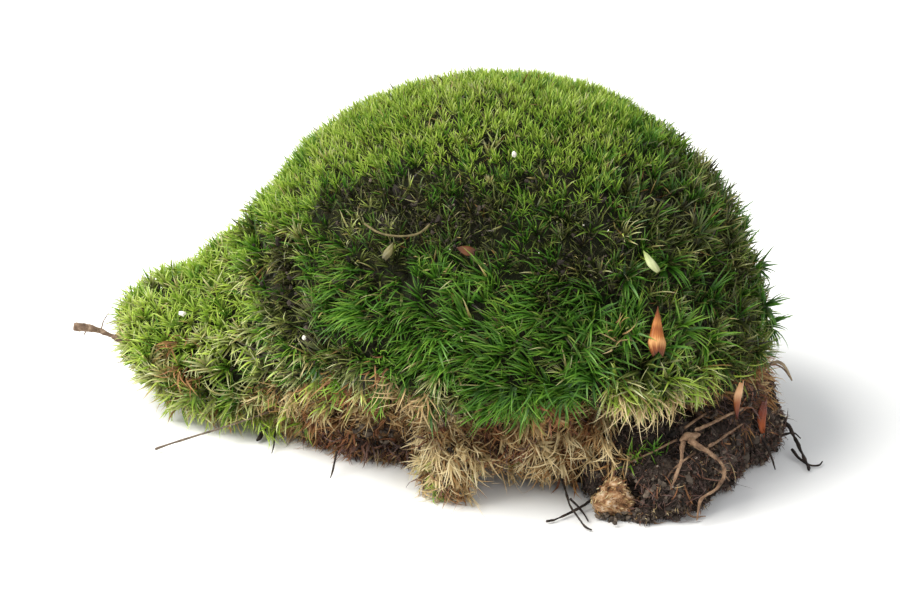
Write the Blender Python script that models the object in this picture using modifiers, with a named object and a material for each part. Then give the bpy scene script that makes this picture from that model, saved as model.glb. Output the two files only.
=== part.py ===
# A clump of cushion moss as lifted off the forest floor. A dome of living shoots with a low tail
# sits on a mat of its own dead shoots, and that on a lump of dark peat. Twigs, roots, bud scales
# and grains of grit are caught in it.
# Metres, +Z up. The front of the clump faces -Y and the tail points to -X.
# The origin is on the resting plane, under the middle of the clump.

import math

import bmesh
import bpy
from mathutils import Matrix, Vector, noise

MM = 0.001

# The gap that pieces which touch keep to each other.
SEAM = 0.3 * MM

# How fine each mass is: its voxels, and the share of its faces that is kept.
VOXEL = 1.8 * MM
MOSS_KEPT = 0.16
MAT_KEPT = 0.1
PEAT_KEPT = 0.12

# Tufts are the domed heads of shoots that stand close together, and clods are crumbs of peat.
MOSS_TUFT = 7.5 * MM
MOSS_TUFT_RISE = 1.3 * MM
MAT_TUFT = 5.5 * MM
MAT_TUFT_RISE = 1.3 * MM
PEAT_CLOD = 6.0 * MM
PEAT_CLOD_RISE = 1.8 * MM

# Where the living shoots end and the dead ones begin: under the tail, under the back and under
# the front of the dome.
TAIL_BEDDING = 3 * MM
BACK_BEDDING = 10 * MM
FRONT_BEDDING = 19 * MM
BEDDING_WAVE = 1.2 * MM

# Lobes are ellipsoids that a mass is grown from: its centre and its radii, in millimetres.
MOSS_LOBES = {
    "crown": ((9, 4, 20), (51, 42, 49.5)),
    "front_bulge": ((20, -16, 24), (33, 22, 22)),
    "right_bulge": ((38, -3, 24), (21.5, 28, 23)),
    "right_shoulder": ((26, 4, 36), (24.5, 30, 26)),
    "tail_root": ((-34, 15, 12.5), (22, 22, 21.5)),
    "tail_tip": ((-45.5, 16, 12), (20, 18, 15)),
    "back": ((4, 26, 14), (42, 22, 26)),
}
MAT_LOBES = {
    "middle": ((4, 12, 8), (44, 31, 20)),
    "front": ((18, -13, 9), (27, 17, 18)),
    "valley_foot": ((-16, 2, 9), (16, 13, 18)),
    "straw_tuft": ((1, -25, 2), (6.5, 8.5, 13)),
    "right": ((41, -2, 12), (19, 26, 13)),
}
PEAT_LOBES = {
    "pad": ((4, 11, 0), (40, 26, 8)),
    "front_lump": ((38, -22, 3), (15.5, 18.5, 15)),
    "right_lump": ((49.5, -5, 3), (13, 15, 13)),
}

# Dents are hollows pressed into the moss: where, how wide and how deep, in millimetres.
MOSS_DENTS = (
    ((-27, -16, 30), 11, 3.5),
    ((-24, -22, 12), 13, 6.0),
    ((-32, -12, 12), 10, 2.5),
    ((-8, -26, 44), 12, 1.5),
    ((26, -34, 34), 9, 1.5),
    ((48, -22, 36), 10, 1.5),
)

# The mat hangs free of the ground here, beside its straw tuft: centre and radii in millimetres.
MAT_HOLLOW = ((13, -36, -1), (10, 11, 4.8))

# Stems are the twigs, roots and stalks: the route of each, its radius along the route, what it
# is bedded in, and its material. Millimetres.
STEMS = {
    "left_twig": {
        "route": ((-71.5, 10, 16.6), (-69.6, 10, 16.5), (-67.5, 10, 16), (-65, 10, 15),
                  (-62, 9.5, 13.3), (-57, 9.5, 10.5)),
        "radii": (1.0, 1.0, 0.6, 0.5, 0.55, 0.5), "hosts": ("moss",), "material": "bark"},
    "left_stalk": {
        "route": ((-55.1, -10.6, 0.7), (-52, -9.6, 1.5), (-41, -7, 4), (-33, -4.5, 6)),
        "radii": (0.4, 0.3, 0.3, 0.3), "hosts": ("moss", "mat"), "material": "straw"},
    "dome_stalk": {
        "route": ((-15.4, -20.4, 50.7), (-12.9, -23.2, 50), (-9.5, -25, 50), (-5.6, -25.4, 50.6),
                  (-3.4, -24.6, 52.4)),
        "radii": (0.35, 0.35, 0.35, 0.35, 0.3), "hosts": ("moss",), "material": "straw"},
    "root_loop": {
        "route": ((42.6, -34.2, 14.4), (45.4, -36.2, 13.4), (48.5, -35.2, 10.6),
                  (49.3, -35.4, 7.6), (47.4, -37.8, 6), (44.8, -39.4, 5), (44.2, -40.4, 1.0)),
        "radii": (0.9, 0.6, 0.55, 0.55, 0.5, 0.5, 0.4), "hosts": ("peat",), "material": "root"},
    "root_left_strand": {
        "route": ((41.4, -35.8, 13.8), (41.4, -37.3, 12), (40.4, -38.6, 9.6), (39.2, -40.4, 7.2)),
        "radii": (0.5, 0.45, 0.45, 0.35), "hosts": ("peat",), "material": "root"},
    "root_upper_strand": {
        "route": ((43.8, -32.6, 15.4), (46.6, -29.6, 15), (49.4, -26.4, 15), (53.6, -22.2, 15)),
        "radii": (0.5, 0.5, 0.45, 0.4), "hosts": ("peat", "mat", "moss"), "material": "root"},
    "root_lower_strand": {
        "route": ((46.2, -34.4, 13), (48.4, -31, 12.6), (51, -26.8, 12.4), (53.4, -22.6, 12)),
        "radii": (0.45, 0.4, 0.4, 0.35), "hosts": ("peat", "mat"), "material": "root"},
    "right_root": {
        "route": ((54, -4, 12.6), (58, -4, 14), (60.8, -4, 15.8), (62.6, -4, 14.6),
                  (64, -4, 11.6)),
        "radii": (0.5, 0.5, 0.45, 0.4, 0.35), "hosts": ("moss", "mat", "peat"),
        "material": "root"},
    "right_twig": {
        "route": ((58, -5.5, 6.6), (62.4, -6.8, 5), (64.2, -9.8, 3), (65.4, -14, 1.4),
                  (66.3, -19, 0.7)),
        "radii": (0.5, 0.5, 0.45, 0.4, 0.5), "hosts": ("peat",), "material": "dark_twig"},
    "pale_twig": {
        "route": ((30, -31.5, 2.8), (26, -33, 1.9), (24, -34.5, 1.2), (21.5, -36.4, 0.7),
                  (18.8, -38.6, 0.5), (17.2, -39.4, 0.6)),
        "radii": (0.35, 0.35, 0.4, 0.3, 0.3, 0.4), "hosts": ("peat",), "material": "dark_twig"},
    "crossing_twig": {
        "route": ((19, -24, 6.4), (20, -28, 4.2), (21, -32, 2.8), (21.5, -35.8, 2.1),
                  (22.6, -38.4, 1.5), (24, -41.4, 0.7), (25.4, -42.6, 0.5)),
        "radii": (0.35, 0.35, 0.35, 0.3, 0.3, 0.3, 0.25), "hosts": ("mat",),
        "material": "dark_twig"},
}

# Flakes are bud scales, bracts and a husk: the middle of each, the way its tip and its face
# point, and its length, width and thickness. Millimetres.
FLAKES = {
    "front_bud_scale": {
        "middle": (36.9, -31.5, 34.6), "tip": (0, 4, 7.2), "face": (0.25, -0.85, 0.47),
        "size": (8.6, 3.4, 1.0), "hosts": ("moss",), "material": "bud_scale"},
    "small_bud_scale": {
        "middle": (2.8, -29.3, 49.2), "tip": (-1, 0.2, 0.2), "face": (-0.1, -0.75, 0.65),
        "size": (3.4, 1.9, 0.8), "hosts": ("moss",), "material": "bud_scale"},
    "pale_flake": {
        "middle": (-10.9, -26.2, 47.7), "tip": (0.5, 0.5, 0.8), "face": (-0.2, -0.8, 0.5),
        "size": (3.4, 1.6, 0.8), "hosts": ("moss",), "material": "husk"},
    "seed_husk": {
        "middle": (35.8, -24.8, 45.1), "tip": (-0.6, 0.3, 0.75), "face": (0.5, -0.6, 0.62),
        "size": (4.6, 2.0, 0.9), "hosts": ("moss",), "material": "husk"},
    "right_bract": {
        "middle": (57.7, -16.2, 9.6), "tip": (0.05, 0.3, -1), "face": (0.6, -0.78, 0.2),
        "size": (10.0, 2.6, 1.0), "hosts": ("moss", "mat", "peat"), "material": "bract"},
    "small_bract": {
        "middle": (52.3, -25.0, 17.7), "tip": (-0.05, 0.2, -1), "face": (0.6, -0.8, 0),
        "size": (8.6, 2.1, 1.0), "hosts": ("moss", "mat"), "material": "bract"},
}

# Grains are bits of grit and rotten wood: the middle and the radii of each. Millimetres.
GRAINS = {
    "tail_grit": {
        "middle": (-50.1, 2.6, 22.6), "radii": (1.1, 0.8, 0.8), "hosts": ("moss",),
        "material": "quartz"},
    "crown_grit": {
        "middle": (11.5, -16.7, 62.4), "radii": (0.7, 0.6, 0.9), "hosts": ("moss",),
        "material": "quartz"},
    "valley_grit": {
        "middle": (-26.4, -21.0, 28.4), "radii": (0.7, 0.6, 0.8), "hosts": ("moss",),
        "material": "quartz"},
    "rotten_wood": {
        "middle": (29.6, -36.8, 4.2), "radii": (3.6, 2.2, 3.4), "hosts": ("peat",),
        "material": "pale_wood"},
}

# How far a grain's lumps stand out, as a share of its smallest radius.
GRAIN_ROUGHNESS = 0.5

# Points that a stem's curve gets for each one of its route.
STEM_STEPS = 2

# Materials: colour, in linear values, and roughness.
MATERIALS = {
    "living_moss": ((0.10, 0.22, 0.018), 0.75),
    "dead_shoots": ((0.30, 0.20, 0.08), 0.85),
    "peat": ((0.032, 0.021, 0.016), 0.95),
    "bark": ((0.16, 0.10, 0.06), 0.8),
    "straw": ((0.34, 0.25, 0.13), 0.7),
    "root": ((0.22, 0.13, 0.07), 0.75),
    "dark_twig": ((0.05, 0.038, 0.034), 0.8),
    "bud_scale": ((0.50, 0.19, 0.06), 0.5),
    "bract": ((0.26, 0.07, 0.03), 0.5),
    "husk": ((0.42, 0.40, 0.17), 0.6),
    "quartz": ((0.80, 0.78, 0.74), 0.35),
    "pale_wood": ((0.45, 0.29, 0.14), 0.85),
}


def clear_scene():
    for obj in list(bpy.data.objects):
        bpy.data.objects.remove(obj, do_unlink=True)


def new_collection(name):
    collection = bpy.data.collections.new(name)
    bpy.context.scene.collection.children.link(collection)
    return collection


def new_object(name, data, collection):
    obj = bpy.data.objects.new(name, data)
    collection.objects.link(obj)
    return obj


def new_cutter(name, data, collection):
    cutter = new_object(name, data, collection)
    cutter.hide_render = True
    cutter.display_type = "WIRE"
    return cutter


def mesh_from(bm, name):
    mesh = bpy.data.meshes.new(name)
    bm.to_mesh(mesh)
    bm.free()
    return mesh


def paint(obj, finish):
    """Gives an object its own material in one of the finishes."""
    colour, roughness = MATERIALS[finish]
    material = bpy.data.materials.new(finish)
    material.use_nodes = True
    shader = material.node_tree.nodes["Principled BSDF"]
    shader.inputs["Base Color"].default_value = (*colour, 1)
    shader.inputs["Roughness"].default_value = roughness
    shader.inputs["Metallic"].default_value = 0
    obj.data.materials.clear()
    obj.data.materials.append(material)


def settle(obj):
    """Turns an object's modifiers into plain mesh."""
    graph = bpy.context.evaluated_depsgraph_get()
    mesh = bpy.data.meshes.new_from_object(obj.evaluated_get(graph))
    obj.modifiers.clear()
    obj.data = mesh


def push_out(mesh, distance):
    """Moves every vertex along its normal, by a number or by a function of its place."""
    normals = [vertex.normal.copy() for vertex in mesh.vertices]
    for vertex, normal in zip(mesh.vertices, normals):
        step = distance(vertex.co) if callable(distance) else distance
        vertex.co += normal * step


def ellipsoid(bm, centre, radii, subdivisions):
    place = Matrix.Translation(Vector(centre) * MM) @ Matrix.Diagonal((*Vector(radii) * MM, 1))
    bmesh.ops.create_icosphere(bm, subdivisions=subdivisions, radius=1.0, matrix=place)


def lobed_mass(name, lobes, collection):
    """One closed, softly creased body grown from overlapping ellipsoids."""
    bm = bmesh.new()
    for centre, radii in lobes.values():
        ellipsoid(bm, centre, radii, 4)
    obj = new_object(name, mesh_from(bm, name), collection)
    remesh = obj.modifiers.new("grow_together", "REMESH")
    remesh.mode = "VOXEL"
    remesh.voxel_size = VOXEL
    smooth = obj.modifiers.new("soften_creases", "SMOOTH")
    smooth.factor = 0.5
    smooth.iterations = 10
    settle(obj)
    return obj


def raise_tufts(obj, size, rise, seed):
    """Swells the surface into rounded heads of about this size, with creases between them."""
    def swelling(spot):
        nearest = noise.voronoi(spot / size + Vector((seed, 2 * seed, 3 * seed)))[0][0]
        return rise * (1 - 1.8 * nearest)
    push_out(obj.data, swelling)


def press_dents(obj, dents):
    """Pushes the surface in around each spot, most in its middle."""
    def sinking(spot):
        depths = (depth * math.exp(-((spot / MM - Vector(centre)).length / reach) ** 2)
                  for centre, reach, depth in dents)
        return -sum(depths) * MM
    push_out(obj.data, sinking)


def thin_out(obj, kept):
    decimate = obj.modifiers.new("thin_out", "DECIMATE")
    decimate.ratio = kept
    settle(obj)


def cut(obj, cutter):
    boolean = obj.modifiers.new("cut", "BOOLEAN")
    boolean.operation = "DIFFERENCE"
    boolean.solver = "EXACT"
    boolean.object = cutter
    settle(obj)


def keep_main_body(obj):
    """Drops the crumbs that cutting has left loose, and keeps the largest body."""
    bm = bmesh.new()
    bm.from_mesh(obj.data)
    unseen = set(bm.verts)
    bodies = []
    while unseen:
        body = {unseen.pop()}
        front = list(body)
        while front:
            for edge in front.pop().link_edges:
                for vertex in edge.verts:
                    if vertex in unseen:
                        unseen.discard(vertex)
                        body.add(vertex)
                        front.append(vertex)
        bodies.append(body)
    bodies.sort(key=len)
    for body in bodies[:-1]:
        bmesh.ops.delete(bm, geom=list(body), context="VERTS")
    bm.to_mesh(obj.data)
    bm.free()


def room_around(obj, collection):
    """A copy of a piece, swollen by the seam, that cuts room for it in its neighbours."""
    room = new_cutter(obj.name + "_room", obj.data.copy(), collection)
    push_out(room.data, SEAM)
    return room


def ease(value, low, high):
    """0 below low, 1 above high, and a smooth step between them."""
    share = min(max((value - low) / (high - low), 0.0), 1.0)
    return share * share * (3 - 2 * share)


def bedding_height(x, y):
    """Height of the boundary between the living shoots and the dead ones under them."""
    past_tail = ease(x, -42 * MM, -22 * MM)
    front = ease(-y, -20 * MM, 30 * MM)
    wave = BEDDING_WAVE * math.sin(x / (6 * MM)) * math.cos(y / (9 * MM))
    dome = BACK_BEDDING + (FRONT_BEDDING - BACK_BEDDING) * front + wave
    return TAIL_BEDDING + past_tail * (dome - TAIL_BEDDING)


def bedding_slab(name, offset, far, collection):
    """A block between the bedding and a plane far above or below it."""
    bm = bmesh.new()
    bmesh.ops.create_grid(bm, x_segments=24, y_segments=24, size=90 * MM)
    for vertex in bm.verts:
        vertex.co.z = bedding_height(vertex.co.x, vertex.co.y) + offset
    bmesh.ops.triangulate(bm, faces=bm.faces, quad_method="FIXED")
    side = bmesh.ops.extrude_face_region(bm, geom=bm.faces[:])
    for item in side["geom"]:
        if isinstance(item, bmesh.types.BMVert):
            item.co.z = far
    bmesh.ops.recalc_face_normals(bm, faces=bm.faces)
    return new_cutter(name, mesh_from(bm, name), collection)


def floor_block(collection):
    """Everything under the resting plane."""
    side = 300 * MM
    depth = 60 * MM
    bm = bmesh.new()
    place = Matrix.Translation((0, 0, -depth / 2)) @ Matrix.Diagonal((side, side, depth, 1))
    bmesh.ops.create_cube(bm, size=1, matrix=place)
    return new_cutter("floor_block", mesh_from(bm, "floor_block"), collection)


def smooth_route(points, steps):
    """Points along a smooth curve through the given ones."""
    points = [Vector(point) for point in points]
    padded = [2 * points[0] - points[1], *points, 2 * points[-1] - points[-2]]
    route = []
    for before, start, end, after in zip(padded, padded[1:], padded[2:], padded[3:]):
        for step in range(steps):
            t = step / steps
            route.append(0.5 * (2 * start + (end - before) * t
                                + (2 * before - 5 * start + 4 * end - after) * t ** 2
                                + (3 * start - before - 3 * end + after) * t ** 3))
    route.append(points[-1])
    return route


def tube(name, plan, swell, collection):
    """A curve object along a stem's route, thicker and longer by the swell, in millimetres."""
    route = smooth_route(plan["route"], STEM_STEPS)
    radii = [value.x for value in smooth_route([(r, 0, 0) for r in plan["radii"]], STEM_STEPS)]
    route[0] += (route[0] - route[1]).normalized() * swell
    route[-1] += (route[-1] - route[-2]).normalized() * swell
    curve = bpy.data.curves.new(name, "CURVE")
    curve.dimensions = "3D"
    curve.bevel_depth = MM
    curve.bevel_resolution = 1
    curve.use_fill_caps = True
    spline = curve.splines.new("POLY")
    spline.points.add(len(route) - 1)
    for point, place, radius in zip(spline.points, route, radii):
        point.co = (*place * MM, 1)
        point.radius = radius + swell
    return new_object(name, curve, collection)


def tube_room(name, plan, collection):
    """The same tube, swollen by the seam, as a closed mesh that can cut."""
    curve = tube(name, plan, SEAM / MM, collection)
    graph = bpy.context.evaluated_depsgraph_get()
    mesh = bpy.data.meshes.new_from_object(curve.evaluated_get(graph))
    bpy.data.objects.remove(curve, do_unlink=True)
    bm = bmesh.new()
    bm.from_mesh(mesh)
    bmesh.ops.remove_doubles(bm, verts=bm.verts, dist=0.001 * MM)
    bmesh.ops.recalc_face_normals(bm, faces=bm.faces)
    bm.to_mesh(mesh)
    bm.free()
    return new_cutter(name, mesh, collection)


def flake(name, plan, collection):
    """A thin cupped scale with a pointed tip and a rounder foot."""
    length, width, thickness = (value * MM for value in plan["size"])
    up = Vector(plan["tip"]).normalized()
    side = Vector(plan["face"]).cross(up).normalized()
    out = up.cross(side)
    bm = bmesh.new()
    bmesh.ops.create_uvsphere(bm, u_segments=8, v_segments=6, radius=1.0)
    for vertex in bm.verts:
        across, through, along = vertex.co
        taper = 1 - 0.35 * ease(along, 0, 1)
        cup = 0.22 * width * across ** 2 - 0.06 * length * along ** 2
        vertex.co = (side * across * taper * width / 2 + up * along * length / 2
                     + out * (through * thickness / 2 - cup) + Vector(plan["middle"]) * MM)
    return new_object(name, mesh_from(bm, name), collection)


def grain(name, plan, collection):
    """A small broken lump."""
    bm = bmesh.new()
    ellipsoid(bm, plan["middle"], plan["radii"], 2)
    obj = new_object(name, mesh_from(bm, name), collection)
    size = min(plan["radii"]) * MM
    push_out(obj.data, lambda spot: GRAIN_ROUGHNESS * size * noise.noise(spot / size))
    return obj


def bed(room, plan, hosts):
    """Cuts a piece's room out of each mass that it is bedded in."""
    for host in plan["hosts"]:
        cut(hosts[host], room)


def centre_over_origin(collection):
    """Shifts everything sideways until the middle of its box is over the origin."""
    graph = bpy.context.evaluated_depsgraph_get()
    points = []
    for obj in collection.objects:
        shown = obj.evaluated_get(graph)
        points += [obj.matrix_world @ vertex.co for vertex in shown.to_mesh().vertices]
        shown.to_mesh_clear()
    for axis in range(2):
        places = [point[axis] for point in points]
        for obj in collection.objects:
            obj.location[axis] -= (min(places) + max(places)) / 2


def main():
    clear_scene()
    clump = new_collection("moss_clump")
    cutters = new_collection("cutters")
    floor = floor_block(cutters)

    peat = lobed_mass("peat_lump", PEAT_LOBES, clump)
    raise_tufts(peat, PEAT_CLOD, PEAT_CLOD_RISE, 1.0)
    thin_out(peat, PEAT_KEPT)
    cut(peat, floor)
    peat_room = room_around(peat, cutters)

    mat = lobed_mass("dead_shoot_mat", MAT_LOBES, clump)
    raise_tufts(mat, MAT_TUFT, MAT_TUFT_RISE, 2.0)
    thin_out(mat, MAT_KEPT)
    cut(mat, floor)
    cut(mat, bedding_slab("above_bedding", -SEAM / 2, 120 * MM, cutters))
    cut(mat, peat_room)
    bm = bmesh.new()
    ellipsoid(bm, *MAT_HOLLOW, 3)
    cut(mat, new_cutter("mat_hollow", mesh_from(bm, "mat_hollow"), cutters))

    moss = lobed_mass("moss_cushion", MOSS_LOBES, clump)
    press_dents(moss, MOSS_DENTS)
    raise_tufts(moss, MOSS_TUFT, MOSS_TUFT_RISE, 3.0)
    thin_out(moss, MOSS_KEPT)
    cut(moss, bedding_slab("below_bedding", SEAM / 2, -40 * MM, cutters))
    cut(moss, peat_room)

    hosts = {"moss": moss, "mat": mat, "peat": peat}
    for name, plan in STEMS.items():
        paint(tube(name, plan, 0, clump), plan["material"])
        bed(tube_room(name + "_room", plan, cutters), plan, hosts)
    for shape, plans in ((flake, FLAKES), (grain, GRAINS)):
        for name, plan in plans.items():
            piece = shape(name, plan, clump)
            bed(room_around(piece, cutters), plan, hosts)
            paint(piece, plan["material"])

    for obj, finish in ((moss, "living_moss"), (mat, "dead_shoots"), (peat, "peat")):
        keep_main_body(obj)
        paint(obj, finish)
    centre_over_origin(clump)


main()
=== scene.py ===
# A clump of broom moss on its dead shoots and peat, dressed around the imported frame.
import itertools
from math import cos, pi, radians, sin

import bmesh
import bpy
import numpy as np
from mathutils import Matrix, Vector
from mathutils.bvhtree import BVHTree
from mathutils.kdtree import KDTree


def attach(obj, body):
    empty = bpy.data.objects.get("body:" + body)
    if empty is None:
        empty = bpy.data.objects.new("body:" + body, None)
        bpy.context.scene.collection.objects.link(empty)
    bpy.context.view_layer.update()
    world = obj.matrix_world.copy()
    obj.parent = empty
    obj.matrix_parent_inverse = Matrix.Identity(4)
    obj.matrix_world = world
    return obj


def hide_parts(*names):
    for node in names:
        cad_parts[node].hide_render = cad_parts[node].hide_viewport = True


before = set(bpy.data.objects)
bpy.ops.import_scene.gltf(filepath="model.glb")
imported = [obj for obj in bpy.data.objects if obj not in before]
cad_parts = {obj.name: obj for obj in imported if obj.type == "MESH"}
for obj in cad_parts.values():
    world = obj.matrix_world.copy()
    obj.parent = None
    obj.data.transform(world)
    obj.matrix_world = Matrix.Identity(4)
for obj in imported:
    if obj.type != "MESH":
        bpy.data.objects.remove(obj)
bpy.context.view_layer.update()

mm = 0.001
print("frame loaded")


# Camera, light and floor.

# Where the picture is taken from: 24 degrees above the floor, a good arm's length away.
view = {
    "aim": (0.0024, -0.0028, 0.0265),
    "distance": 0.68,
    "elevation": 24.0,
    "lens": 146.0,
}

# A white tent of light, with the larger lamp high on the left.
light = {
    "skyColor": "#f4f7fb",
    "skyStrength": 0.62,
    "keyPlace": (-0.75, -0.05, 0.85),
    "keySize": 0.95,
    "keyPower": 27.0,
    "keyColor": "#fffdf8",
    "fillPlace": (0.45, -0.75, 0.55),
    "fillSize": 0.9,
    "fillPower": 3.0,
    "floorColor": "#f3f3f2",
    "floorHalf": 5.0,
}


def linear(hexColor, alpha=1.0):
    # an sRGB hex colour as the linear values that shaders work in
    parts = [int(hexColor[i:i + 2], 16) / 255 for i in (1, 3, 5)]
    parts = [c / 12.92 if c <= 0.04045 else ((c + 0.055) / 1.055) ** 2.4 for c in parts]
    return (*parts, alpha)


def addNode(tree, kind, inputs=None, **settings):
    # adds a node, gives it its settings, then sets or links its inputs
    node = tree.nodes.new(kind)
    for name, value in settings.items():
        setattr(node, name, value)
    for socket, value in (inputs or {}).items():
        if isinstance(value, bpy.types.NodeSocket):
            tree.links.new(value, node.inputs[socket])
        else:
            node.inputs[socket].default_value = value
    return node


def newMaterial(name):
    material = bpy.data.materials.new(name)
    material.use_nodes = True
    material.node_tree.nodes.clear()
    return material, material.node_tree


def setRamp(ramp, stops):
    # stops are (place, sRGB hex) pairs in rising order
    elements = ramp.color_ramp.elements
    while len(elements) > 1:
        elements.remove(elements[-1])
    elements[0].position = stops[0][0]
    elements[0].color = linear(stops[0][1])
    for place, hexColor in stops[1:]:
        elements.new(place).color = linear(hexColor)


def aimAt(obj, target):
    obj.rotation_euler = (Vector(target) - obj.location).to_track_quat("-Z", "Y").to_euler()


def buildStudio():
    scene = bpy.context.scene
    scene.view_settings.view_transform = "Standard"
    world = bpy.data.worlds.new("whiteTent")
    scene.world = world
    world.use_nodes = True
    world.node_tree.nodes.clear()
    sky = addNode(world.node_tree, "ShaderNodeBackground",
                  {"Color": linear(light["skyColor"]), "Strength": light["skyStrength"]})
    addNode(world.node_tree, "ShaderNodeOutputWorld", {"Surface": sky.outputs[0]})

    for name in ("key", "fill"):
        lamp = bpy.data.lights.new(name + "Lamp", "AREA")
        lamp.size = light[name + "Size"]
        lamp.energy = light[name + "Power"]
        if name == "key":
            lamp.color = linear(light["keyColor"])[:3]
        lampObject = bpy.data.objects.new(name + "Lamp", lamp)
        lampObject.location = light[name + "Place"]
        scene.collection.objects.link(lampObject)
        aimAt(lampObject, (0, 0, 0.03))

    half = light["floorHalf"]
    mesh = bpy.data.meshes.new("floor")
    mesh.from_pydata([(-half, -half, 0), (half, -half, 0), (half, half, 0), (-half, half, 0)],
                     [], [(0, 1, 2, 3)])
    floor = bpy.data.objects.new("floor", mesh)
    scene.collection.objects.link(floor)
    # matt white melamine board: an even white with no gloss
    board, tree = newMaterial("mattWhiteBoard")
    shader = addNode(tree, "ShaderNodeBsdfPrincipled",
                     {"Base Color": linear(light["floorColor"]), "Roughness": 0.9,
                      "Specular IOR Level": 0.2})
    addNode(tree, "ShaderNodeOutputMaterial", {"Surface": shader.outputs[0]})
    mesh.materials.append(board)

    camera = bpy.data.cameras.new("camera")
    camera.lens = view["lens"]
    camera.clip_start = 0.01
    camera.clip_end = 20
    cameraObject = bpy.data.objects.new("camera", camera)
    scene.collection.objects.link(cameraObject)
    tilt = radians(view["elevation"])
    aim = Vector(view["aim"])
    cameraObject.location = aim + view["distance"] * Vector((0, -cos(tilt), sin(tilt)))
    aimAt(cameraObject, aim)
    scene.camera = cameraObject


buildStudio()
print("studio built")


# Tools for points and meshes, all in millimetres until a mesh is made.

def unit(vectors):
    return vectors / np.maximum(np.linalg.norm(vectors, axis=-1, keepdims=True), 1e-9)


def smoothStep(low, high, values):
    t = np.clip((values - low) / (high - low), 0, 1)
    return t * t * (3 - 2 * t)


def lumpy(points, size, seed):
    # a smooth random field between -1 and 1 whose lumps are size mm across
    cell = np.asarray(points) / size
    base = np.floor(cell)
    part = cell - base
    part = part * part * (3 - 2 * part)
    total = np.zeros(len(cell))
    for corner in itertools.product((0, 1), repeat=3):
        spot = base + corner
        raw = np.sin(spot @ np.array([12.9898, 78.233, 37.719]) + seed * 17.31) * 43758.5453
        share = np.prod(np.where(corner, part, 1 - part), axis=1)
        total += (raw - np.floor(raw)) * share
    return 2 * total - 1


def blob(points, centre, radii):
    # 1 at the centre, fading to nothing about two radii away
    away = ((points - np.array(centre)) / np.array(radii)) ** 2
    return np.exp(-away.sum(axis=1))


def nearPath(points, route, reach):
    # 1 on the route, fading to nothing about two reaches away
    best = np.full(len(points), 1e9)
    for a, b in zip(route[:-1], route[1:]):
        a = np.array(a, float)
        b = np.array(b, float)
        t = np.clip(((points - a) @ (b - a)) / ((b - a) @ (b - a)), 0, 1)
        gap = np.linalg.norm(points - (a + t[:, None] * (b - a)), axis=1)
        best = np.minimum(best, gap)
    return np.exp(-(best / reach) ** 2)


def meshObject(name, points, faces, material, uv=None, smooth=True):
    # faces is a list of (n, k) index arrays, one array for each number of corners
    mesh = bpy.data.meshes.new(name)
    mesh.vertices.add(len(points))
    mesh.vertices.foreach_set("co", (np.asarray(points, float) * mm).astype(np.float32).ravel())
    corners = np.concatenate([f.ravel() for f in faces])
    counts = np.concatenate([np.full(len(f), f.shape[1]) for f in faces])
    starts = np.concatenate([[0], np.cumsum(counts)[:-1]])
    mesh.loops.add(len(corners))
    mesh.loops.foreach_set("vertex_index", corners.astype(np.int32))
    mesh.polygons.add(len(counts))
    mesh.polygons.foreach_set("loop_start", starts.astype(np.int32))
    mesh.polygons.foreach_set("use_smooth", np.full(len(counts), smooth))
    mesh.update(calc_edges=True)
    if uv is not None:
        layer = mesh.uv_layers.new(name="OFBake")
        layer.data.foreach_set("uv", uv[corners].astype(np.float32).ravel())
    mesh.materials.append(material)
    obj = bpy.data.objects.new(name, mesh)
    bpy.context.scene.collection.objects.link(obj)
    return obj


def nodeCopy(names, label):
    # one working object made of CAD nodes, with their split corners joined
    bm = bmesh.new()
    for name in names:
        bm.from_mesh(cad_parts[name].data)
    bmesh.ops.remove_doubles(bm, verts=bm.verts, dist=0.000002)
    mesh = bpy.data.meshes.new(label)
    bm.to_mesh(mesh)
    bm.free()
    obj = bpy.data.objects.new(label, mesh)
    bpy.context.scene.collection.objects.link(obj)
    return obj


def keepLargest(obj):
    # drops every loose part of a mesh but the largest
    bm = bmesh.new()
    bm.from_mesh(obj.data)
    parts, seen = [], set()
    for seed in bm.verts:
        if seed in seen:
            continue
        seen.add(seed)
        part = [seed]
        for vert in part:
            near = [edge.other_vert(vert) for edge in vert.link_edges]
            fresh = [v for v in near if v not in seen]
            seen.update(fresh)
            part += fresh
        parts.append(part)
    parts.sort(key=len)
    print(obj.name, "loose parts dropped:", [len(part) for part in parts[:-1]])
    bmesh.ops.delete(bm, geom=[v for part in parts[:-1] for v in part], context="VERTS")
    bm.to_mesh(obj.data)
    bm.free()


def settle(obj):
    # turns an object's modifiers into its mesh
    depsgraph = bpy.context.evaluated_depsgraph_get()
    mesh = bpy.data.meshes.new_from_object(obj.evaluated_get(depsgraph))
    obj.modifiers.clear()
    old = obj.data
    obj.data = mesh
    bpy.data.meshes.remove(old)
    return obj


def remeshed(names, label, voxel, smoothing):
    obj = nodeCopy(names, label)
    remesh = obj.modifiers.new("voxels", "REMESH")
    remesh.mode = "VOXEL"
    remesh.voxel_size = voxel * mm
    remesh.adaptivity = 0
    if smoothing:
        smooth = obj.modifiers.new("smoothing", "SMOOTH")
        smooth.factor = 0.5
        smooth.iterations = smoothing
    settle(obj)
    keepLargest(obj)
    return obj


def readPoints(obj):
    points = np.empty(len(obj.data.vertices) * 3, np.float32)
    obj.data.vertices.foreach_get("co", points)
    return points.reshape(-1, 3).astype(float) / mm


def readNormals(obj):
    normals = np.empty(len(obj.data.vertices) * 3, np.float32)
    obj.data.vertices.foreach_get("normal", normals)
    return normals.reshape(-1, 3).astype(float)


def readTriangles(obj):
    mesh = obj.data
    mesh.calc_loop_triangles()
    triangles = np.empty(len(mesh.loop_triangles) * 3, np.int32)
    mesh.loop_triangles.foreach_get("vertices", triangles)
    return triangles.reshape(-1, 3)


def writePoints(obj, points):
    obj.data.vertices.foreach_set("co", (points * mm).astype(np.float32).ravel())
    obj.data.update()


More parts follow.
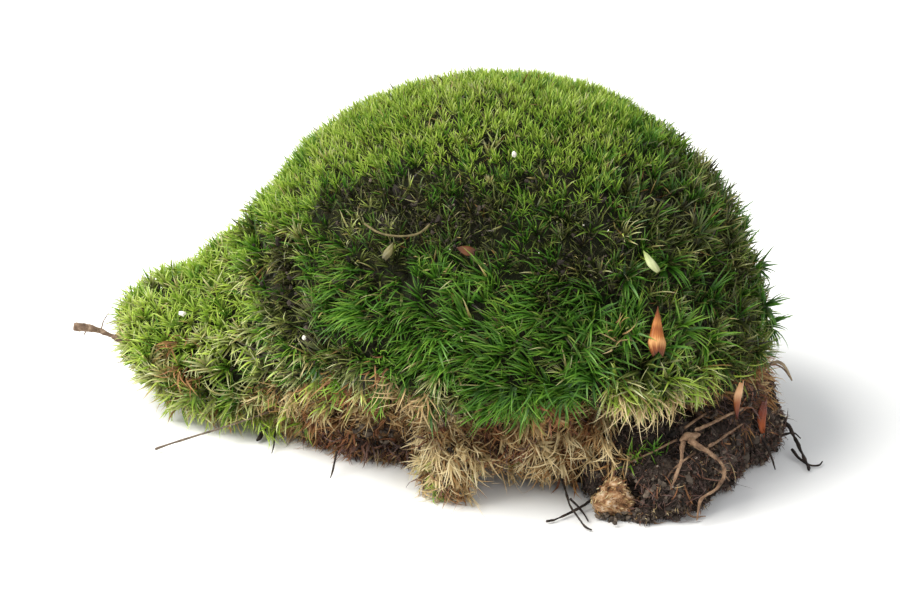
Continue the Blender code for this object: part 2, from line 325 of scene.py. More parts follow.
def dropObject(obj):
    mesh = obj.data
    bpy.data.objects.remove(obj)
    bpy.data.meshes.remove(mesh)


def searchTree(names):
    # nearest-point search over the skins of some CAD nodes, in millimetres
    obj = nodeCopy(names, "searchSkin")
    tree = BVHTree.FromPolygons([Vector(p) for p in readPoints(obj)], readTriangles(obj).tolist())
    dropObject(obj)
    return tree


def gapTo(tree, points):
    return np.array([tree.find_nearest(Vector(p))[3] or 99.0 for p in points])


def sprinkle(surface, rng, count):
    # random places on a skin, with the skin's direction there
    points, normals, triangles = readPoints(surface), readNormals(surface), readTriangles(surface)
    a, b, c = (points[triangles[:, i]] for i in range(3))
    area = 0.5 * np.linalg.norm(np.cross(b - a, c - a), axis=1)
    pick = rng.choice(len(triangles), size=count, p=area / area.sum())
    u, v = rng.random(count), rng.random(count)
    flip = u + v > 1
    u[flip], v[flip] = 1 - u[flip], 1 - v[flip]
    w = np.stack([1 - u - v, u, v], axis=1)[:, :, None]
    corners = triangles[pick]
    return (points[corners] * w).sum(axis=1), unit((normals[corners] * w).sum(axis=1))


def spacedOut(points, spacing):
    # keeps a random set of places no closer together than spacing
    tree = KDTree(len(points))
    for i, p in enumerate(points):
        tree.insert(p, i)
    tree.balance()
    free = np.ones(len(points), bool)
    kept = []
    for i, p in enumerate(points):
        if free[i]:
            kept.append(i)
            for _, j, _ in tree.find_range(p, spacing[i]):
                free[j] = False
    return np.array(kept)


def turnAbout(vectors, axes, angle):
    # vectors turned about axes by an angle each, in radians
    c, s = np.cos(angle)[:, None], np.sin(angle)[:, None]
    along = (vectors * axes).sum(axis=1, keepdims=True)
    return vectors * c + np.cross(axes, vectors) * s + axes * along * (1 - c)


def blades(name, leaves, profile, material, floorGap=0.15):
    # Ribbons that bend in one plane each. leaves holds arrays: base, start, bend, length, turn
    # (how far each bends, radians), width, twist, tint. profile is the width along a ribbon.
    start = unit(leaves["start"])
    bend = leaves["bend"] - (leaves["bend"] * start).sum(axis=1, keepdims=True) * start
    bend = unit(bend)
    turn = np.maximum(np.abs(leaves["turn"]), 0.02)[:, None]
    length = leaves["length"][:, None]
    rings = len(profile)
    count = len(start)
    flat = turnAbout(np.cross(start, bend), start, leaves["twist"])
    points, shades = [], []
    for i, share in enumerate(profile):
        t = i / (rings - 1)
        middle = (leaves["base"] + length / turn
                  * (np.sin(turn * t) * start + (1 - np.cos(turn * t)) * bend))
        tint = leaves["tint"]
        if i == rings - 1:
            points.append(middle)
            shades.append(np.stack([tint, np.full(count, 0.985)], axis=1))
        else:
            half = flat * (leaves["width"] * share * 0.5)[:, None]
            points += [middle - half, middle + half]
            shades += [np.stack([tint - 0.0015, np.full(count, 0.015 + 0.97 * t)], axis=1),
                       np.stack([tint + 0.0015, np.full(count, 0.015 + 0.97 * t)], axis=1)]
    perLeaf = len(points)
    points = np.stack(points, axis=1).reshape(-1, 3)
    points[:, 2] = np.maximum(points[:, 2], floorGap)
    shades = np.clip(np.stack(shades, axis=1).reshape(-1, 2), 0.002, 0.998)
    first = (np.arange(count) * perLeaf)[:, None]
    quads = [first + np.array([[2 * i, 2 * i + 1, 2 * i + 3, 2 * i + 2]])
             for i in range(rings - 2)]
    tip = first + np.array([[2 * rings - 4, 2 * rings - 3, 2 * rings - 2]])
    faces = [np.concatenate(quads), tip]
    obj = meshObject(name, points, faces, material, uv=shades)
    print(name, count, "ribbons,", 2 * len(faces[0]) + len(tip), "triangles")
    return obj


def wispsOf(p, n, tint, rng, strands, length, droop, curl, width, depth):
    # loose wisps: several strands from each place, limp, each with its own curl
    count = np.maximum(rng.poisson(strands, len(p)), 2)
    owner = np.repeat(np.arange(len(p)), count)
    size = len(owner)
    lie = unit(rng.normal(0, 1, (len(p), 3)))[owner]
    start = n[owner] * 0.75 + lie * 0.55 + rng.normal(0, 0.4, (size, 3))
    start[:, 2] -= droop * 0.5
    bend = rng.normal(0, 0.7, (size, 3)) + lie * 0.4
    bend[:, 2] -= droop
    run = length[owner] * (1 + rng.normal(0, 0.3, size))
    return {"base": p[owner] - n[owner] * depth + rng.normal(0, 0.35, (size, 3)),
            "start": start, "bend": bend, "length": np.clip(run, 1.5, 12),
            "turn": np.radians(curl) * np.abs(1 + rng.normal(0, 0.5, size)),
            "width": width * (1 + rng.normal(0, 0.25, size)).clip(0.4, 2),
            "twist": rng.normal(0, 1.2, size),
            "tint": np.clip(tint[owner] + rng.normal(0, 0.07, size), 0.01, 0.99),
            "owner": owner}


# Materials of the living and dead leaves.

# Leaf tints, from 0 to 1 along the ramps: humus, dark olive, olive, deep green, green, fresh
# green, yellow green, pale green, grey olive, straw, tan, rust.
leafTints = {
    "body": ((0.00, "#1f1a14"), (0.08, "#3c3527"), (0.16, "#3a421c"), (0.26, "#535c27"),
             (0.36, "#2c5214"), (0.46, "#3a6a1a"), (0.56, "#4f7f22"), (0.66, "#688f2a"),
             (0.76, "#8aab35"), (0.82, "#b3cb4c"), (0.87, "#949b5c"), (0.92, "#a8995a"),
             (0.96, "#8d6d3c"), (1.00, "#5f3a24")),
    # the tip ramp is paler: partly the leaves' own paler points, partly a painted highlight
    "tip": ((0.00, "#2e271e"), (0.08, "#5f5642"), (0.16, "#6b7138"), (0.26, "#8d9349"),
            (0.36, "#4d7d28"), (0.46, "#699a34"), (0.56, "#80a93c"), (0.66, "#98b848"),
            (0.76, "#b6cd58"), (0.82, "#d2de78"), (0.87, "#d2d6a4"), (0.92, "#d2c189"),
            (0.96, "#b8925a"), (1.00, "#8a5032")),
    # rootShade is painted shade: the colour each leaf darkens to at its foot, deep among the shoots
    "rootShade": "#3c3a22",
    "glow": 0.30,
}


def mossLeaf():
    # Living leaf of broom moss, one cell thick: half matt, a little waxy, and it lets light
    # through, so that a tuft glows yellow green against the light. Darker towards its foot, which
    # is painted shade deep among the shoots; paler towards its tip, partly the leaf's own paler
    # point and partly a painted highlight.
    material, tree = newMaterial("mossLeaf")
    uv = addNode(tree, "ShaderNodeUVMap", uv_map="OFBake")
    parts = addNode(tree, "ShaderNodeSeparateXYZ", {"Vector": uv.outputs["UV"]})
    body = addNode(tree, "ShaderNodeValToRGB", {"Fac": parts.outputs["X"]})
    setRamp(body, leafTints["body"])
    tip = addNode(tree, "ShaderNodeValToRGB", {"Fac": parts.outputs["X"]})
    setRamp(tip, leafTints["tip"])
    towardsTip = addNode(tree, "ShaderNodeMapRange",
                         {"Value": parts.outputs["Y"], "From Min": 0.35, "From Max": 1.0},
                         interpolation_type="SMOOTHSTEP")
    leaf = addNode(tree, "ShaderNodeMix",
                   {"Factor": towardsTip.outputs["Result"], 6: body.outputs["Color"],
                    7: tip.outputs["Color"]}, data_type="RGBA")
    # painted shade: darker towards the leaf's foot, deep among the shoots
    fromFoot = addNode(tree, "ShaderNodeMapRange",
                       {"Value": parts.outputs["Y"], "From Min": 0.0, "From Max": 0.45,
                        "To Min": 0.75, "To Max": 0.0})
    shaded = addNode(tree, "ShaderNodeMix",
                     {"Factor": fromFoot.outputs["Result"], 6: leaf.outputs[2],
                      7: linear(leafTints["rootShade"])},
                     data_type="RGBA", blend_type="MULTIPLY")
    skin = addNode(tree, "ShaderNodeBsdfPrincipled",
                   {"Base Color": shaded.outputs[2], "Roughness": 0.4, "IOR": 1.45,
                    "Specular IOR Level": 0.5})
    glow = addNode(tree, "ShaderNodeBsdfTranslucent", {"Color": shaded.outputs[2]})
    mixed = addNode(tree, "ShaderNodeMixShader",
                    {"Fac": leafTints["glow"], 1: skin.outputs[0], 2: glow.outputs[0]})
    addNode(tree, "ShaderNodeOutputMaterial", {"Surface": mixed.outputs[0]})
    return material


def rough(name, colors, scale, roughness, bump, bumpScale, detail=6.0, specular=0.3):
    # A matt natural skin with two sizes of mottling. Scales are lumps per millimetre.
    material, tree = newMaterial(name)
    place = addNode(tree, "ShaderNodeTexCoord")
    mottle = addNode(tree, "ShaderNodeTexNoise",
                     {"Vector": place.outputs["Object"], "Scale": scale / mm, "Detail": detail,
                      "Roughness": 0.65})
    ramp = addNode(tree, "ShaderNodeValToRGB", {"Fac": mottle.outputs["Fac"]})
    setRamp(ramp, colors)
    grain = addNode(tree, "ShaderNodeTexNoise",
                    {"Vector": place.outputs["Object"], "Scale": bumpScale / mm, "Detail": 4.0,
                     "Roughness": 0.7})
    height = addNode(tree, "ShaderNodeBump",
                     {"Height": grain.outputs["Fac"], "Strength": 0.8, "Distance": bump * mm})
    skin = addNode(tree, "ShaderNodeBsdfPrincipled",
                   {"Base Color": ramp.outputs["Color"], "Roughness": roughness,
                    "Specular IOR Level": specular, "Normal": height.outputs["Normal"]})
    addNode(tree, "ShaderNodeOutputMaterial", {"Surface": skin.outputs[0]})
    return material


leafMaterial = mossLeaf()
print("leaf material ready")


# Crumb tints, from 0 to 1: black humus, brown, rust, tan, pale wood.
crumbTints = ((0.00, "#191512"), (0.25, "#3a322c"), (0.50, "#5c5248"), (0.68, "#786b5d"),
              (0.82, "#94806a"), (0.93, "#a58a66"), (1.00, "#e6e0d2"))


def crumbMatter():
    # Crumbs of humus and rotten wood: matt, dark, each its own tint.
    material, tree = newMaterial("humusCrumb")
    uv = addNode(tree, "ShaderNodeUVMap", uv_map="OFBake")
    parts = addNode(tree, "ShaderNodeSeparateXYZ", {"Vector": uv.outputs["UV"]})
    tint = addNode(tree, "ShaderNodeValToRGB", {"Fac": parts.outputs["X"]})
    setRamp(tint, crumbTints)
    skin = addNode(tree, "ShaderNodeBsdfPrincipled",
                   {"Base Color": tint.outputs["Color"], "Roughness": 0.85,
                    "Specular IOR Level": 0.25})
    addNode(tree, "ShaderNodeOutputMaterial", {"Surface": skin.outputs[0]})
    return material


crumbMaterial = crumbMatter()


def crumbs(name, p, size, tint, rng):
    # broken lumps: an icosahedron for each, knocked out of shape
    bm = bmesh.new()
    bmesh.ops.create_icosphere(bm, subdivisions=1, radius=1)
    ball = np.array([v.co[:] for v in bm.verts])
    sides = np.array([[v.index for v in f.verts] for f in bm.faces])
    bm.free()
    count = len(p)
    shape = ball[None] * (1 + rng.normal(0, 0.22, (count, len(ball), 1)))
    squeeze = rng.uniform(0.5, 1.3, (count, 1, 3))
    axes = unit(rng.normal(0, 1, (count, 3)))
    turned = (shape * squeeze).reshape(-1, 3)
    turned = turnAbout(turned, np.repeat(axes, len(ball), axis=0),
                       np.repeat(rng.uniform(0, 6.28, count), len(ball)))
    points = turned.reshape(count, -1, 3) * size[:, None, None] + p[:, None, :]
    points[:, :, 2] = np.maximum(points[:, :, 2], 0.1)
    faces = (np.arange(count) * len(ball))[:, None, None] + sides[None]
    shades = np.stack([np.repeat(tint, len(ball)), np.tile(ball[:, 2] * 0.4 + 0.5, count)], axis=1)
    piece = meshObject(name, points.reshape(-1, 3), [faces.reshape(-1, 3)], crumbMaterial,
                       uv=np.clip(shades, 0.003, 0.997), smooth=False)
    print(name, count, "crumbs,", count * len(sides), "triangles")
    return piece


# The cushion: its dark inside, and the living shoots over it.

cushion = {
    "skinVoxel": 1.5,
    "coreDepth": 4.2,
    "coreRoughness": 0.8,
    "candidates": 70000,
    "seed": 41,
}

# Each kind of shoot: leaf tint and its spread, the share of bleached grey-olive tufts, leaf
# length, how far leaves stand off the stem and bend (degrees), leaves, width, spacing, stem, how
# much its leaves spread like a star or are combed one way, how wild the tufts are, how many gaps
# are between them, and which way they lie (left to right, front to back, down to up).
shootKinds = {
    "crown": dict(tint=0.80, spread=0.035, pale=0.0, length=1.6, splay=28, bend=18, leaves=13,
                  width=0.19, spacing=0.92, stem=0.9, star=0.7, comb=0.2, wild=0.5, gaps=0.03,
                  lay=(-0.2, 0.0, 0.5)),
    # the flank facing up and left, towards the key lamp: partly the shoots' own yellow green, partly painted light
    "bright": dict(tint=0.78, spread=0.04, pale=0.03, length=2.5, splay=28, bend=22, leaves=13,
                   width=0.24, spacing=1.25, stem=1.3, star=0.6, comb=0.4, wild=0.6, gaps=0.08,
                   lay=(-0.5, 0.0, 0.3)),
    "flank": dict(tint=0.56, spread=0.09, pale=0.04, length=3.9, splay=26, bend=32, leaves=13,
                  width=0.33, spacing=1.66, stem=1.9, star=0.5, comb=0.7, wild=0.8, gaps=0.14,
                  lay=(-0.2, -0.1, 0.5)),
    "deep": dict(tint=0.44, spread=0.08, pale=0.012, length=7.0, splay=18, bend=66, leaves=19,
                 width=0.48, spacing=2.2, stem=2.4, star=0.35, comb=1.3, wild=0.8, gaps=0.14,
                 lay=(-0.7, -0.2, -0.1)),
    "spiky": dict(tint=0.13, spread=0.08, pale=0.08, length=4.4, splay=40, bend=34, leaves=14,
                  width=0.40, spacing=2.4, stem=1.9, star=0.7, comb=0.15, wild=0.8, gaps=0.56,
                  lay=(0.0, 0.0, 0.2)),
    # olive: the shoots' own olive in random patches, and on the side facing right a darker olive that is painted
    # shade, away from the key lamp
    "olive": dict(tint=0.17, spread=0.08, pale=0.14, length=4.0, splay=36, bend=34, leaves=13,
                  width=0.37, spacing=1.95, stem=1.9, star=0.6, comb=0.4, wild=0.9, gaps=0.36,
                  lay=(0.3, -0.3, 0.3)),
    # valley: dark shoots in the crease between the tail and the dome, partly painted shade
    "valley": dict(tint=0.12, spread=0.08, pale=0.22, length=6.0, splay=30, bend=60, leaves=17,
                   width=0.48, spacing=2.7, stem=2.2, star=0.5, comb=0.9, wild=1.1, gaps=0.44,
                   lay=(-0.85, -0.2, 0.0)),
    "dirty": dict(tint=0.11, spread=0.08, pale=0.03, length=2.9, splay=42, bend=30, leaves=9,
                  width=0.27, spacing=1.3, stem=1.0, star=0.5, comb=0.4, wild=0.9, gaps=0.16,
                  lay=(-0.3, 0.0, 0.3)),
    "tailTop": dict(tint=0.80, spread=0.03, pale=0.10, length=3.4, splay=46, bend=38, leaves=23,
                    width=0.42, spacing=2.05, stem=1.6, star=1.0, comb=0.3, wild=0.8, gaps=0.16,
                    lay=(-0.4, 0.0, 0.4)),
    "tailSide": dict(tint=0.76, spread=0.10, pale=0.74, length=4.8, splay=44, bend=58, leaves=21,
                     width=0.50, spacing=2.5, stem=2.0, star=0.8, comb=0.7, wild=1.1, gaps=0.28,
                     lay=(-0.4, -0.1, -0.4)),
    "skirt": dict(tint=0.92, spread=0.035, pale=0.20, length=6.0, splay=40, bend=74, leaves=11,
                  width=0.42, spacing=2.5, stem=1.8, star=0.6, comb=0.9, wild=1.3, gaps=0.42,
                  lay=(0.0, -0.2, -0.9)),
    "leftSkirt": dict(tint=0.17, spread=0.10, pale=0.42, length=5.0, splay=48, bend=62, leaves=15,
                      width=0.44, spacing=2.4, stem=1.9, star=0.8, comb=0.5, wild=1.2, gaps=0.3,
                      lay=(-0.4, -0.2, -0.5)),
}

# Where tufts stand prouder of the cushion than elsewhere: centre, reach and height, mm.
prouder = (((-36, 12, 38), (7, 14, 7), 3.0), ((-58, 12, 22), (10, 14, 8), 1.3),
           ((-22, 4, 54), (12, 20, 14), 1.1), ((-45, 10, 30), (12, 14, 8), 0.9),
           ((44, 2, 58), (10, 18, 8), 0.8), ((-42, -6, 5), (17, 9, 5), 3.0),
           ((57, 5, 46), (10, 22, 12), 1.6), ((-55, 3, 7), (10, 9, 6), 1.6),
           ((62, -4, 24), (6, 10, 6), 1.3))


def kindWeights(p, n):
    # how much of each kind of shoot grows at each place of the cushion
    x, y, z = p.T
    front = smoothStep(0.15, 0.6, -n[:, 1])
    tail = smoothStep(-30, -38, x)
    dome = 1 - tail
    patchy = lumpy(p, 9, 3)
    drift = lumpy(p, 22, 5)
    valleyRoute = ((-35, 0, 36), (-30, -13, 38), (-27, -18, 34), (-23, -25, 27), (-17, -32, 23))
    low = smoothStep(26.5, 21.5, z + 3 * patchy - 4.5 * smoothStep(8, -6, x))
    weights = {
        "crown": dome * smoothStep(54, 64, z + 4 * drift) * 1.2,
        # painted light: a paler yellow green on the flank facing up and left, towards the key lamp
        "bright": dome * smoothStep(0.05, 0.5, -n[:, 0] + 0.45 * n[:, 2] - 0.9 * front)
        * smoothStep(30, 48, z) * 1.4 * smoothStep(24, -2, x),
        "flank": 0.45 + 0.2 * patchy,
        "deep": dome * front * smoothStep(50, 40, z) * smoothStep(16, 24, z)
        * smoothStep(-26, -16, x) * smoothStep(32, 22, x) * 1.6,
        "spiky": front * smoothStep(24, 31, x) * smoothStep(38, 31, z) * 1.8,
        # painted shade on the right-facing side, away from the key lamp, with the shoots' own olive patches at random
        "olive": dome * smoothStep(0.2, 0.6, n[:, 0]) * smoothStep(66, 54, z) * 1.1
        + 0.25 * dome * smoothStep(0.1, 0.7, drift),
        # the dark valley kind: partly its own dark old shoots, partly painted shade of the crease between tail and
        # dome and low at (-31, -12, 14)
        "valley": nearPath(p, valleyRoute, 5.5) * 2.2 + 2.2 * blob(p, (-31, -12, 14), (6, 9, 10)),
        "dirty": 2.6 * (blob(p, (-9, -22, 54), (11, 8, 4.5)) + blob(p, (4, -27, 54), (7, 6, 4))
                        + blob(p, (24, -33, 46), (6, 6, 3.5)) + blob(p, (27, -27, 53), (4, 5, 3))
                        + 0.6 * blob(p, (17, -22, 60), (3, 4, 2.5))),
        "tailTop": tail * smoothStep(0.1, 0.5, n[:, 2]) * 1.5,
        "tailSide": smoothStep(-28, -40, x) * smoothStep(0.45, 0.1, n[:, 2])
        * smoothStep(30, 20, z) * 1.6,
        "skirt": dome * low * smoothStep(22, 30, x) * 2.6
        + 0.5 * smoothStep(-24, -30, x) * smoothStep(13, 4, z)
        + tail * smoothStep(22, 12, z) * smoothStep(0.0, 0.6, patchy)
        + tail * 0.4 * smoothStep(0.35, 0.8, patchy) + 0.2 * smoothStep(0.5, 0.9, patchy),
        "leftSkirt": dome * low * smoothStep(-30, -22, x) * smoothStep(12, -4, x) * 2.6,
    }
    table = np.stack([np.maximum(weights[kind], 0) for kind in shootKinds], axis=1) + 1e-4
    return table / table.sum(axis=1, keepdims=True)


def blended(weights, value):
    return weights @ np.array([kind[value] for kind in shootKinds.values()])


def growShoots(skin, neighbours, rng):
    # places of the shoots, with what each one is like there
    p, n = sprinkle(skin, rng, cushion["candidates"])
    seen = (n[:, 2] > -0.85) | (p[:, 0] < -33) | (p[:, 0] > 40)
    free = (gapTo(neighbours, p) > 1.0) & seen & (p[:, 2] > 1.0)
    p, n = p[free], n[free]
    weights = kindWeights(p, n)
    full = lumpy(p, 3.0, 61) > 1.8 * blended(weights, "gaps") - 0.75
    p, n, weights = p[full], n[full], weights[full]
    kept = spacedOut(p, blended(weights, "spacing"))
    p, n, weights = p[kept], n[kept], weights[kept]
    dice = rng.random(len(p))
    kind = (weights.cumsum(axis=1) < dice[:, None]).sum(axis=1).clip(0, len(shootKinds) - 1)
    share = 0.45 * weights + 0.55 * np.eye(len(shootKinds))[kind]
    shoots = {value: blended(share, value)
              for value in ("length", "splay", "bend", "leaves", "width", "stem", "star", "comb",
                            "wild")}
    pure = np.eye(len(shootKinds))[kind]
    shoots["tint"] = (blended(0.35 * weights + 0.65 * pure, "tint")
                      + 0.03 * lumpy(p, 7, 8)
                      + rng.normal(0, 0.012, len(p)) + 0.03 * shoots["wild"] * rng.normal(0, 1, len(p)))
    shoots["spread"] = blended(pure, "spread")
    bleached = rng.random(len(p)) < blended(share, "pale")
    shoots["tint"] = np.where(bleached, 0.868 + 0.012 * rng.normal(0, 1, len(p)), shoots["tint"])
    shoots["spread"] = np.where(bleached, 0.02, shoots["spread"])
    up = np.array([0, 0, 1.0])
    lay = share @ np.array([kind["lay"] for kind in shootKinds.values()])
    eddy = np.stack([lumpy(p, 11, 21), lumpy(p, 11, 22), lumpy(p, 11, 23)], axis=1)
    wild = shoots["wild"][:, None]
    lay = lay + wild * (0.8 * eddy + rng.normal(0, 0.3, (len(p), 3)))
    lean = 0.7 * smoothStep(-0.6, 0.3, n[:, 2])[:, None]
    sag = smoothStep(0.2, -0.4, n[:, 2])[:, None] * np.array([0, 0, -0.35])
    jitter = wild * rng.normal(0, 0.17, (len(p), 3))
    shoots["axis"] = unit(n * 0.85 + up * lean + 0.35 * lay + jitter + sag)
    shoots["lay"] = unit(lay)
    lift = sum(height * blob(p, centre, reach) for centre, reach, height in prouder)
    shoots["place"] = p + n * lift[:, None]
    shoots["normal"] = n
    shoots["vigour"] = 1 + 0.14 * lumpy(p, 6, 31) + shoots["wild"] * rng.normal(0, 0.13, len(p))
    # the tail's end is lifted off the ground, so what grows under it stays short
    lifted = smoothStep(-47, -58, p[:, 0]) * smoothStep(0.1, -0.4, n[:, 2])
    shoots["vigour"] = shoots["vigour"] * (1 - 0.5 * lifted)
    return shoots


def leavesOf(shoots, rng):
    # the leaves of all the shoots: spiralled up each stem, the lower ones standing off further
    count = np.maximum(rng.poisson(shoots["leaves"]), 5)
    owner = np.repeat(np.arange(len(count)), count)
    order = np.arange(len(owner)) - np.repeat(np.cumsum(count) - count, count)
    rank = (order + rng.random(len(owner))) / count[owner]
    axis = shoots["axis"][owner]
    helper = np.where(np.abs(axis[:, 2:3]) > 0.9, np.array([[1.0, 0, 0]]), np.array([[0, 0, 1.0]]))
    sideA = unit(np.cross(axis, helper))
    sideB = np.cross(axis, sideA)
    spin = order * 2.39996 + rng.random(len(count))[owner] * 2 * pi
    spin = spin + rng.normal(0, 0.35, len(owner))
    out = sideA * np.cos(spin)[:, None] + sideB * np.sin(spin)[:, None]
    splay = np.radians(shoots["splay"][owner]) * (1.25 - 0.95 * rank)
    splay = splay * (1 + rng.normal(0, 0.22, len(owner)))
    length = shoots["length"][owner] * shoots["vigour"][owner]
    length = length * (0.72 + 0.28 * np.sin(pi * (0.25 + 0.6 * rank)))
    length = length * (1 + rng.normal(0, 0.12, len(owner)))
    stem = shoots["stem"][owner]
    turn = np.radians(shoots["bend"][owner]) * np.abs(1 + rng.normal(0, 0.28, len(owner)))
    mean = np.radians(shoots["bend"][owner])
    reach = shoots["length"][owner] * np.sin(mean) / mean * 0.9 + stem
    rise = stem * rank - reach + rng.normal(0, 0.2, len(owner))
    base = shoots["place"][owner] + axis * rise[:, None] + out * 0.2
    start = axis * np.cos(splay)[:, None] + out * np.sin(splay)[:, None]
    comb = shoots["comb"][owner][:, None]
    star = shoots["star"][owner][:, None]
    bend = out * star + shoots["lay"][owner] * comb + rng.normal(0, 0.16, (len(owner), 3))
    tint = shoots["tint"][owner] + shoots["spread"][owner] * rng.normal(0, 1, len(owner))
    stray = rng.random(len(owner)) < 0.015
    tint = np.where(stray, rng.uniform(0.88, 0.94, len(owner)), tint)
    return {"base": base, "start": start, "bend": bend, "length": length, "turn": turn,
            "width": shoots["width"][owner] * (1 + rng.normal(0, 0.15, len(owner))),
            "twist": rng.normal(0, 0.7, len(owner)), "tint": np.clip(tint, 0.01, 0.99),
            "owner": owner}


def chosen(leaves, mask):
    return {key: value[mask] for key, value in leaves.items()}


# Full near its foot, then drawn out into a long point, as the leaves of broom moss are. The
# small leaves of the crown bend so little that three rings show them.
leafProfile = (0.75, 1.0, 0.72, 0.42, 0.0)
shortProfile = (0.8, 0.9, 0.0)

# Large spreading tufts low on the right: place, way each faces, tint, leaf length, leaves.
starTufts = (
    (27.5, -35, 37.5, 0.0, -0.8, 0.6, 0.42, 7.5, 40), (30, -37.5, 30.5, -0.1, -0.9, 0.4, 0.36, 8.0, 44),
    (34, -35.5, 35.5, 0.1, -0.8, 0.6, 0.50, 7.0, 40), (37, -37.5, 27.5, 0.1, -0.9, 0.3, 0.26, 7.5, 40),
    (41, -34.5, 30.5, 0.3, -0.9, 0.3, 0.48, 6.5, 30), (45, -31, 33.5, 0.4, -0.8, 0.5, 0.58, 7.5, 44),
    (50.5, -28.5, 29, 0.5, -0.8, 0.3, 0.56, 8.0, 44), (48, -32, 24, 0.4, -0.9, 0.1, 0.84, 8.0, 46),
    (34, -29.5, 44, 0.1, -0.7, 0.7, 0.47, 6.5, 36), (42.5, -24, 44, 0.4, -0.6, 0.7, 0.46, 6.5, 36),
    (51, -22, 36.5, 0.6, -0.6, 0.5, 0.42, 7.5, 42), (32, -39.5, 25.5, 0.0, -1.0, 0.1, 0.83, 8.0, 46),
    (42.5, -36, 24, 0.3, -0.9, 0.1, 0.80, 7.5, 44), (54, -26.5, 23.5, 0.7, -0.7, 0.1, 0.26, 7.5, 40),
    (24.5, -37.5, 33.5, -0.2, -0.9, 0.5, 0.52, 7.5, 40), (26.5, -40, 27.5, -0.1, -1.0, 0.1, 0.44, 7.5, 40),
    (22, -41, 24, -0.1, -1.0, 0.0, 0.47, 7.0, 36), (57, -18, 30, 0.8, -0.5, 0.3, 0.22, 6.5, 34),
    (62.5, -12, 29, 0.9, -0.4, 0.1, 0.40, 5.4, 34), (64, -6, 22, 1.0, -0.3, -0.1, 0.44, 5.6, 36),
    (60.5, -19, 22, 0.9, -0.6, -0.1, 0.28, 5.6, 34), (62, 2, 31, 1.0, -0.1, 0.1, 0.36, 5.2, 32),
    (49, -15, 46, 0.6, -0.4, 0.7, 0.24, 6.0, 34), (36, -38.5, 22.5, 0.1, -1.0, -0.1, 0.84, 6.5, 34),
)


def growStars(rng):
    # leaves that spread all round from the head of a shoot and arch over towards the ground
    table = np.array(starTufts)
    count = table[:, 8].astype(int)
    owner = np.repeat(np.arange(len(table)), count)
    size = len(owner)
    axis = unit(table[:, 3:6])[owner]
    sideA = unit(np.cross(axis, np.array([0.2, 0.1, 1.0])))
    sideB = np.cross(axis, sideA)
    spin = np.arange(size) * 2.39996 + rng.normal(0, 0.3, size)
    out = sideA * np.cos(spin)[:, None] + sideB * np.sin(spin)[:, None]
    splay = np.radians(14 + 72 * rng.random(size) ** 0.8)
    start = axis * np.cos(splay)[:, None] + out * np.sin(splay)[:, None]
    run = table[owner, 7] * rng.uniform(0.75, 1.1, size)
    base = table[owner, :3] - axis * (table[owner, 7:8] * 0.62 - rng.random((size, 1)) * 1.4)
    leaves = {"base": base + out * 0.25, "start": start,
              "bend": out * 0.5 - np.array([0, 0, 0.9]) + rng.normal(0, 0.2, (size, 3)),
              "length": run, "turn": np.radians(48) * np.abs(1 + rng.normal(0, 0.35, size)),
              "width": rng.uniform(0.42, 0.64, size), "twist": rng.normal(0, 0.6, size),
              "tint": np.clip(table[owner, 6] + rng.normal(0, 0.05, size), 0.01, 0.99)}
    piece = blades("spreading_tufts", leaves, leafProfile, leafMaterial)
    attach(piece, "root")


def growOldLeaves(skin, neighbours, rng):
    # last year's leaves, brown and olive, deep between the tufts
    p, n = sprinkle(skin, rng, 22000)
    free = gapTo(neighbours, p) > 0.8
    p, n = p[free], n[free]
    kept = spacedOut(p, np.full(len(p), 1.5))
    p, n = p[kept], n[kept]
    tint = np.where(rng.random(len(p)) < 0.85, rng.uniform(0.0, 0.24, len(p)),
                    rng.uniform(0.90, 0.96, len(p)))
    old = wispsOf(p, n, tint, rng, 3, np.full(len(p), 3.4), 0.1, 35, 0.30, 4.4)
    piece = blades("old_leaves", old, (0.8, 1.0, 0.7, 0.0), leafMaterial)
    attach(piece, "root")


